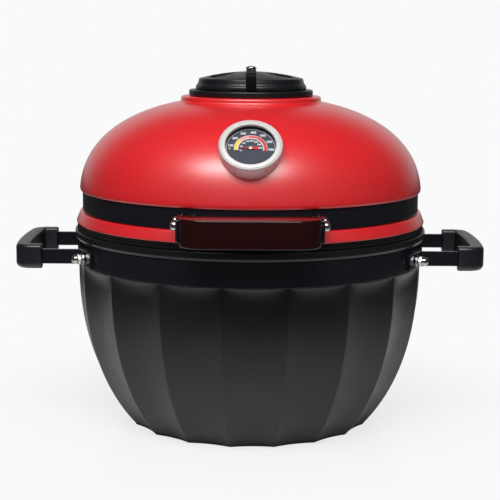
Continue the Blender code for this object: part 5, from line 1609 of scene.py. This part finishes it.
class KAMADO_OT_dial(bpy.types.Operator):
    """Makes the thermometer's dial with its printed scales, and the pointer"""

    bl_idname = "kamado.dial"
    bl_label = "Dial"

    def execute(self, context):
        s = context.scene.kamado_thermometer
        place = face_place(s)
        radius, hole = s.case - s.case_wall - 2 * GAP, 0.0014
        top, back = s.dial_top, s.dial_top - 0.001
        disc = turned("gauge_dial", rectangle(hole, top, radius, back), 96, place)
        dress(disc, "dial", "lid", "thermometer_dial")

        inner, outer, line = s.arc_inner, s.arc_outer, 0.0003
        start, yellow, pale, pink, end = [math.radians(turn) for turn in (188, 133, 96, 62, -11)]
        strokes = (
            (inner, outer, start, yellow, YELLOW),
            (inner, outer, yellow, pale, PALE),
            (inner, outer, pale, pink, PINK),
            (inner, outer, pink, end, RED),
            (outer, outer + line, start, end, WHITE),
            (inner - line, inner, start, end, WHITE),
        )
        parts = [stroke(*row, top) for row in strokes]
        scales = (
            (100, 0.0034, s.scale_radius, s.scale_from, s.scale_step),
            (50, 0.0024, inner - 0.0026, s.inner_from, s.inner_step),
        )
        for i in range(s.numbers):
            for value, size, out, first, step in scales:
                turn = first - step * i
                x, y = out * math.cos(turn), out * math.sin(turn)
                parts.append(figure(str(value * (i + 1)), size, x, y, top))
        for unit, x, y in (("°F", -0.0190, -0.0006), ("°C", -0.0089, -0.0026)):
            parts.append(figure(unit, 0.0023, x, y, top))
        for amount, long, wide in ((s.ticks, 0.0006, 0.00014), (s.long_ticks, 0.0010, 0.00022)):
            tick = prism("tick", rectangle(0, -wide, long, wide), top + PRINT, top + 2 * PRINT)
            ticks = linked("ticks", bpy.data.meshes.new("ticks"))
            sweep = {"Start": start, "Sweep": end - start, "Radius": inner}
            grown(ticks, tick_tree(), "ink", Ticks=amount, Template=tick, **sweep)
            parts.append(inked(ticks, WHITE))
        ring = rectangle(0.0216, top, 0.0220, top + PRINT)
        parts.append(inked(turned("line", ring, 96), WHITE))
        printed = joined("gauge_print", parts)
        printed.data.transform(place)
        shades = [(*linear(*ink), 1) for ink in INKS]
        ink = printed.data.attributes.new("ink", "FLOAT_COLOR", "FACE")
        for value, face in zip(ink.data, printed.data.polygons):
            value.color = shades[face.material_index]
            face.material_index = 0
        dress(printed, "ink", "lid", "thermometer_dial")

        low, thick = top + 0.0004, 0.0005
        tip, tail = -0.0099, 0.0069
        outline = [(tip, 0.0001), (tip, -0.0001), (0, -0.0009), (tail, -0.0020), (tail, 0.0020), (0, 0.0009)]
        outline = fillet(outline, [0, 0, 0, 0.0006, 0.0006, 0], 4)
        needle = bevelled(prism("needle", outline, low, low + thick, place), 0.0001, 1)
        pin = turned("needle_pin", rectangle(0, low, 0.0009, back), 20, place)
        hub = domed("needle_hub", 0.0017, low + thick, low + 2 * thick, 0.0002)
        hub.data.transform(place)
        red_faces = len(needle.data.polygons) + len(pin.data.polygons)
        pointer = joined("pointer_needle", [needle, pin, hub])
        for name in ("needle", "chrome"):
            pointer.data.materials.append(finish(name))
        for face in pointer.data.polygons[red_faces:]:
            face.material_index = 1
        dress(pointer, "needle", "pointer", "thermometer_pointer")
        return {"FINISHED"}


def softbox(place, target, wide, deep, power):
    """A soft rectangular light that looks at a point."""
    data = bpy.data.lights.new("softbox", "AREA")
    data.shape = "RECTANGLE"
    data.size, data.size_y = wide, deep
    data.energy = power
    light = linked("softbox", data)
    light.location = place
    light.rotation_euler = (target - place).to_track_quat("-Z", "Y").to_euler()
    light.visible_camera = False


def surroundings(s):
    """A world that is white to the camera, lights softly, and looks bright at the rear in glossy pieces."""
    world = bpy.data.worlds.new("kamado_world")
    bpy.context.scene.world = world
    world.use_nodes = True
    world.node_tree.nodes.clear()
    tree = Nodes(world.node_tree)

    def glow(colour, strength):
        links = {"Color": (*colour, 1), "Strength": strength}
        return tree.put("ShaderNodeBackground", links).outputs[0]

    place = tree.put("ShaderNodeTexCoord").outputs["Generated"]
    x, y, z = tree.put("ShaderNodeSeparateXYZ", {0: place}).outputs
    rear = tree.ramp(y, 0.55, 0.95, 0.0, s.bright)
    low = tree.ramp(z, 0.3, 0.62, 1.0, 0.0)
    white = (1, 1, 1)
    shown = glow(white, tree.math("MULTIPLY_ADD", rear, low, s.dark))
    soft = glow(white, tree.ramp(y, -0.9, 0.2, 2.2 * s.fill, 0.75 * s.fill))
    ray = tree.put("ShaderNodeLightPath").outputs
    light = tree.mixed(ray["Is Diffuse Ray"], shown, soft)
    both = tree.mixed(ray["Is Camera Ray"], light, glow(s.backdrop, 1.0))
    tree.put("ShaderNodeOutputWorld", {"Surface": both})


def floor_finish(s):
    """A pale, faintly glossy floor that fades into the white of the backdrop away from the object.

    To the light and to glossy pieces it goes dark further away.
    """
    made = bpy.data.materials.new("kamado_floor")
    made.use_nodes = True
    tree, nodes = Nodes(made.node_tree), made.node_tree.nodes
    links = {"Base Color": (*s.floor, 1), "Roughness": 0.16, "Specular IOR Level": 0.35}
    shader = tree.feed(nodes["Principled BSDF"], links)
    place = tree.put("ShaderNodeTexCoord").outputs["Object"]
    camera = tree.put("ShaderNodeLightPath").outputs["Is Camera Ray"]
    far = tree.put("ShaderNodeVectorMath", {0: place}, operation="LENGTH").outputs["Value"]
    share = tree.math("MULTIPLY", tree.ramp(far, 0.14, 0.42, 0.8, 1.0), camera)
    links = {0: place, 1: (0, 0.25, 0)}
    away = tree.put("ShaderNodeVectorMath", links, operation="DISTANCE").outputs["Value"]
    unseen = tree.math("SUBTRACT", tree.ramp(away, 0.42, 0.8, 0.0, 1.0), camera, use_clamp=True)
    white = tree.put("ShaderNodeEmission", {"Color": (*s.backdrop, 1)}).outputs[0]
    shade = tree.put("ShaderNodeEmission", {"Color": (s.dark, s.dark, s.dark, 1)}).outputs[0]
    near = tree.mixed(unseen, shader.outputs[0], shade)
    tree.feed(nodes["Material Output"], {"Surface": tree.mixed(share, near, white)})
    return made


class KAMADO_OT_stage(bpy.types.Operator):
    """Sets the camera, the softbox, the surroundings and the floor"""

    bl_idname = "kamado.stage"
    bl_label = "Stage"

    def execute(self, context):
        s = context.scene.kamado_stage
        side, drop = 12.0, 0.0002
        corners = [(x, y, -drop) for x, y in rectangle(-side, -side, side, side)]
        floor = shaped("floor", corners, [(0, 1, 2, 3)])
        floor.data.materials.append(floor_finish(s))
        surroundings(s)
        place, target = Vector((-0.15, -0.94, 1.52)), Vector((0, 0, 0.2))
        softbox(place, target, s.box_wide, s.box_deep, s.power)
        data = bpy.data.cameras.new("camera")
        data.sensor_width = 36
        data.lens = s.lens
        camera = linked("camera", data)
        turn = Matrix.Rotation(s.tilt, 4, "X") @ Matrix.Rotation(s.roll, 4, "Z")
        camera.matrix_world = Matrix.Translation((0, -s.distance, s.height)) @ turn
        context.scene.camera = camera
        context.scene.view_settings.view_transform = "Standard"
        return {"FINISHED"}


class KAMADO_PT_grill(bpy.types.Panel):
    """Lists the settings and the steps of the grill"""

    bl_idname = "KAMADO_PT_grill"
    bl_label = "Kamado Grill"
    bl_space_type = "VIEW_3D"
    bl_region_type = "UI"
    bl_category = "Kamado"

    def draw(self, context):
        for step in STEPS:
            self.layout.operator(step.bl_idname)
        for name, group in SETTINGS.items():
            column = self.layout.box().column()
            column.label(text=group.__doc__)
            for label in group.__annotations__:
                column.prop(getattr(context.scene, name), label)


STEPS = (
    KAMADO_OT_stage,
    KAMADO_OT_bowl,
    KAMADO_OT_dome,
    KAMADO_OT_bands,
    KAMADO_OT_felt,
    KAMADO_OT_fire_parts,
    KAMADO_OT_cooking_grid,
    KAMADO_OT_draft,
    KAMADO_OT_side_handles,
    KAMADO_OT_side_fasteners,
    KAMADO_OT_hinge,
    KAMADO_OT_lid_handle,
    KAMADO_OT_lid_fasteners,
    KAMADO_OT_vent,
    KAMADO_OT_damper,
    KAMADO_OT_thermometer,
    KAMADO_OT_dial,
)


def register():
    for made in (*SETTINGS.values(), *STEPS, KAMADO_PT_grill):
        bpy.utils.register_class(made)
    for name, group in SETTINGS.items():
        setattr(bpy.types.Scene, name, PointerProperty(type=group))


def unregister():
    for name in SETTINGS:
        delattr(bpy.types.Scene, name)
    for made in reversed((*SETTINGS.values(), *STEPS, KAMADO_PT_grill)):
        bpy.utils.unregister_class(made)


def main():
    register()
    for step in STEPS:
        module, name = step.bl_idname.split(".")
        getattr(getattr(bpy.ops, module), name)()


if __name__ == "__main__":
    main()
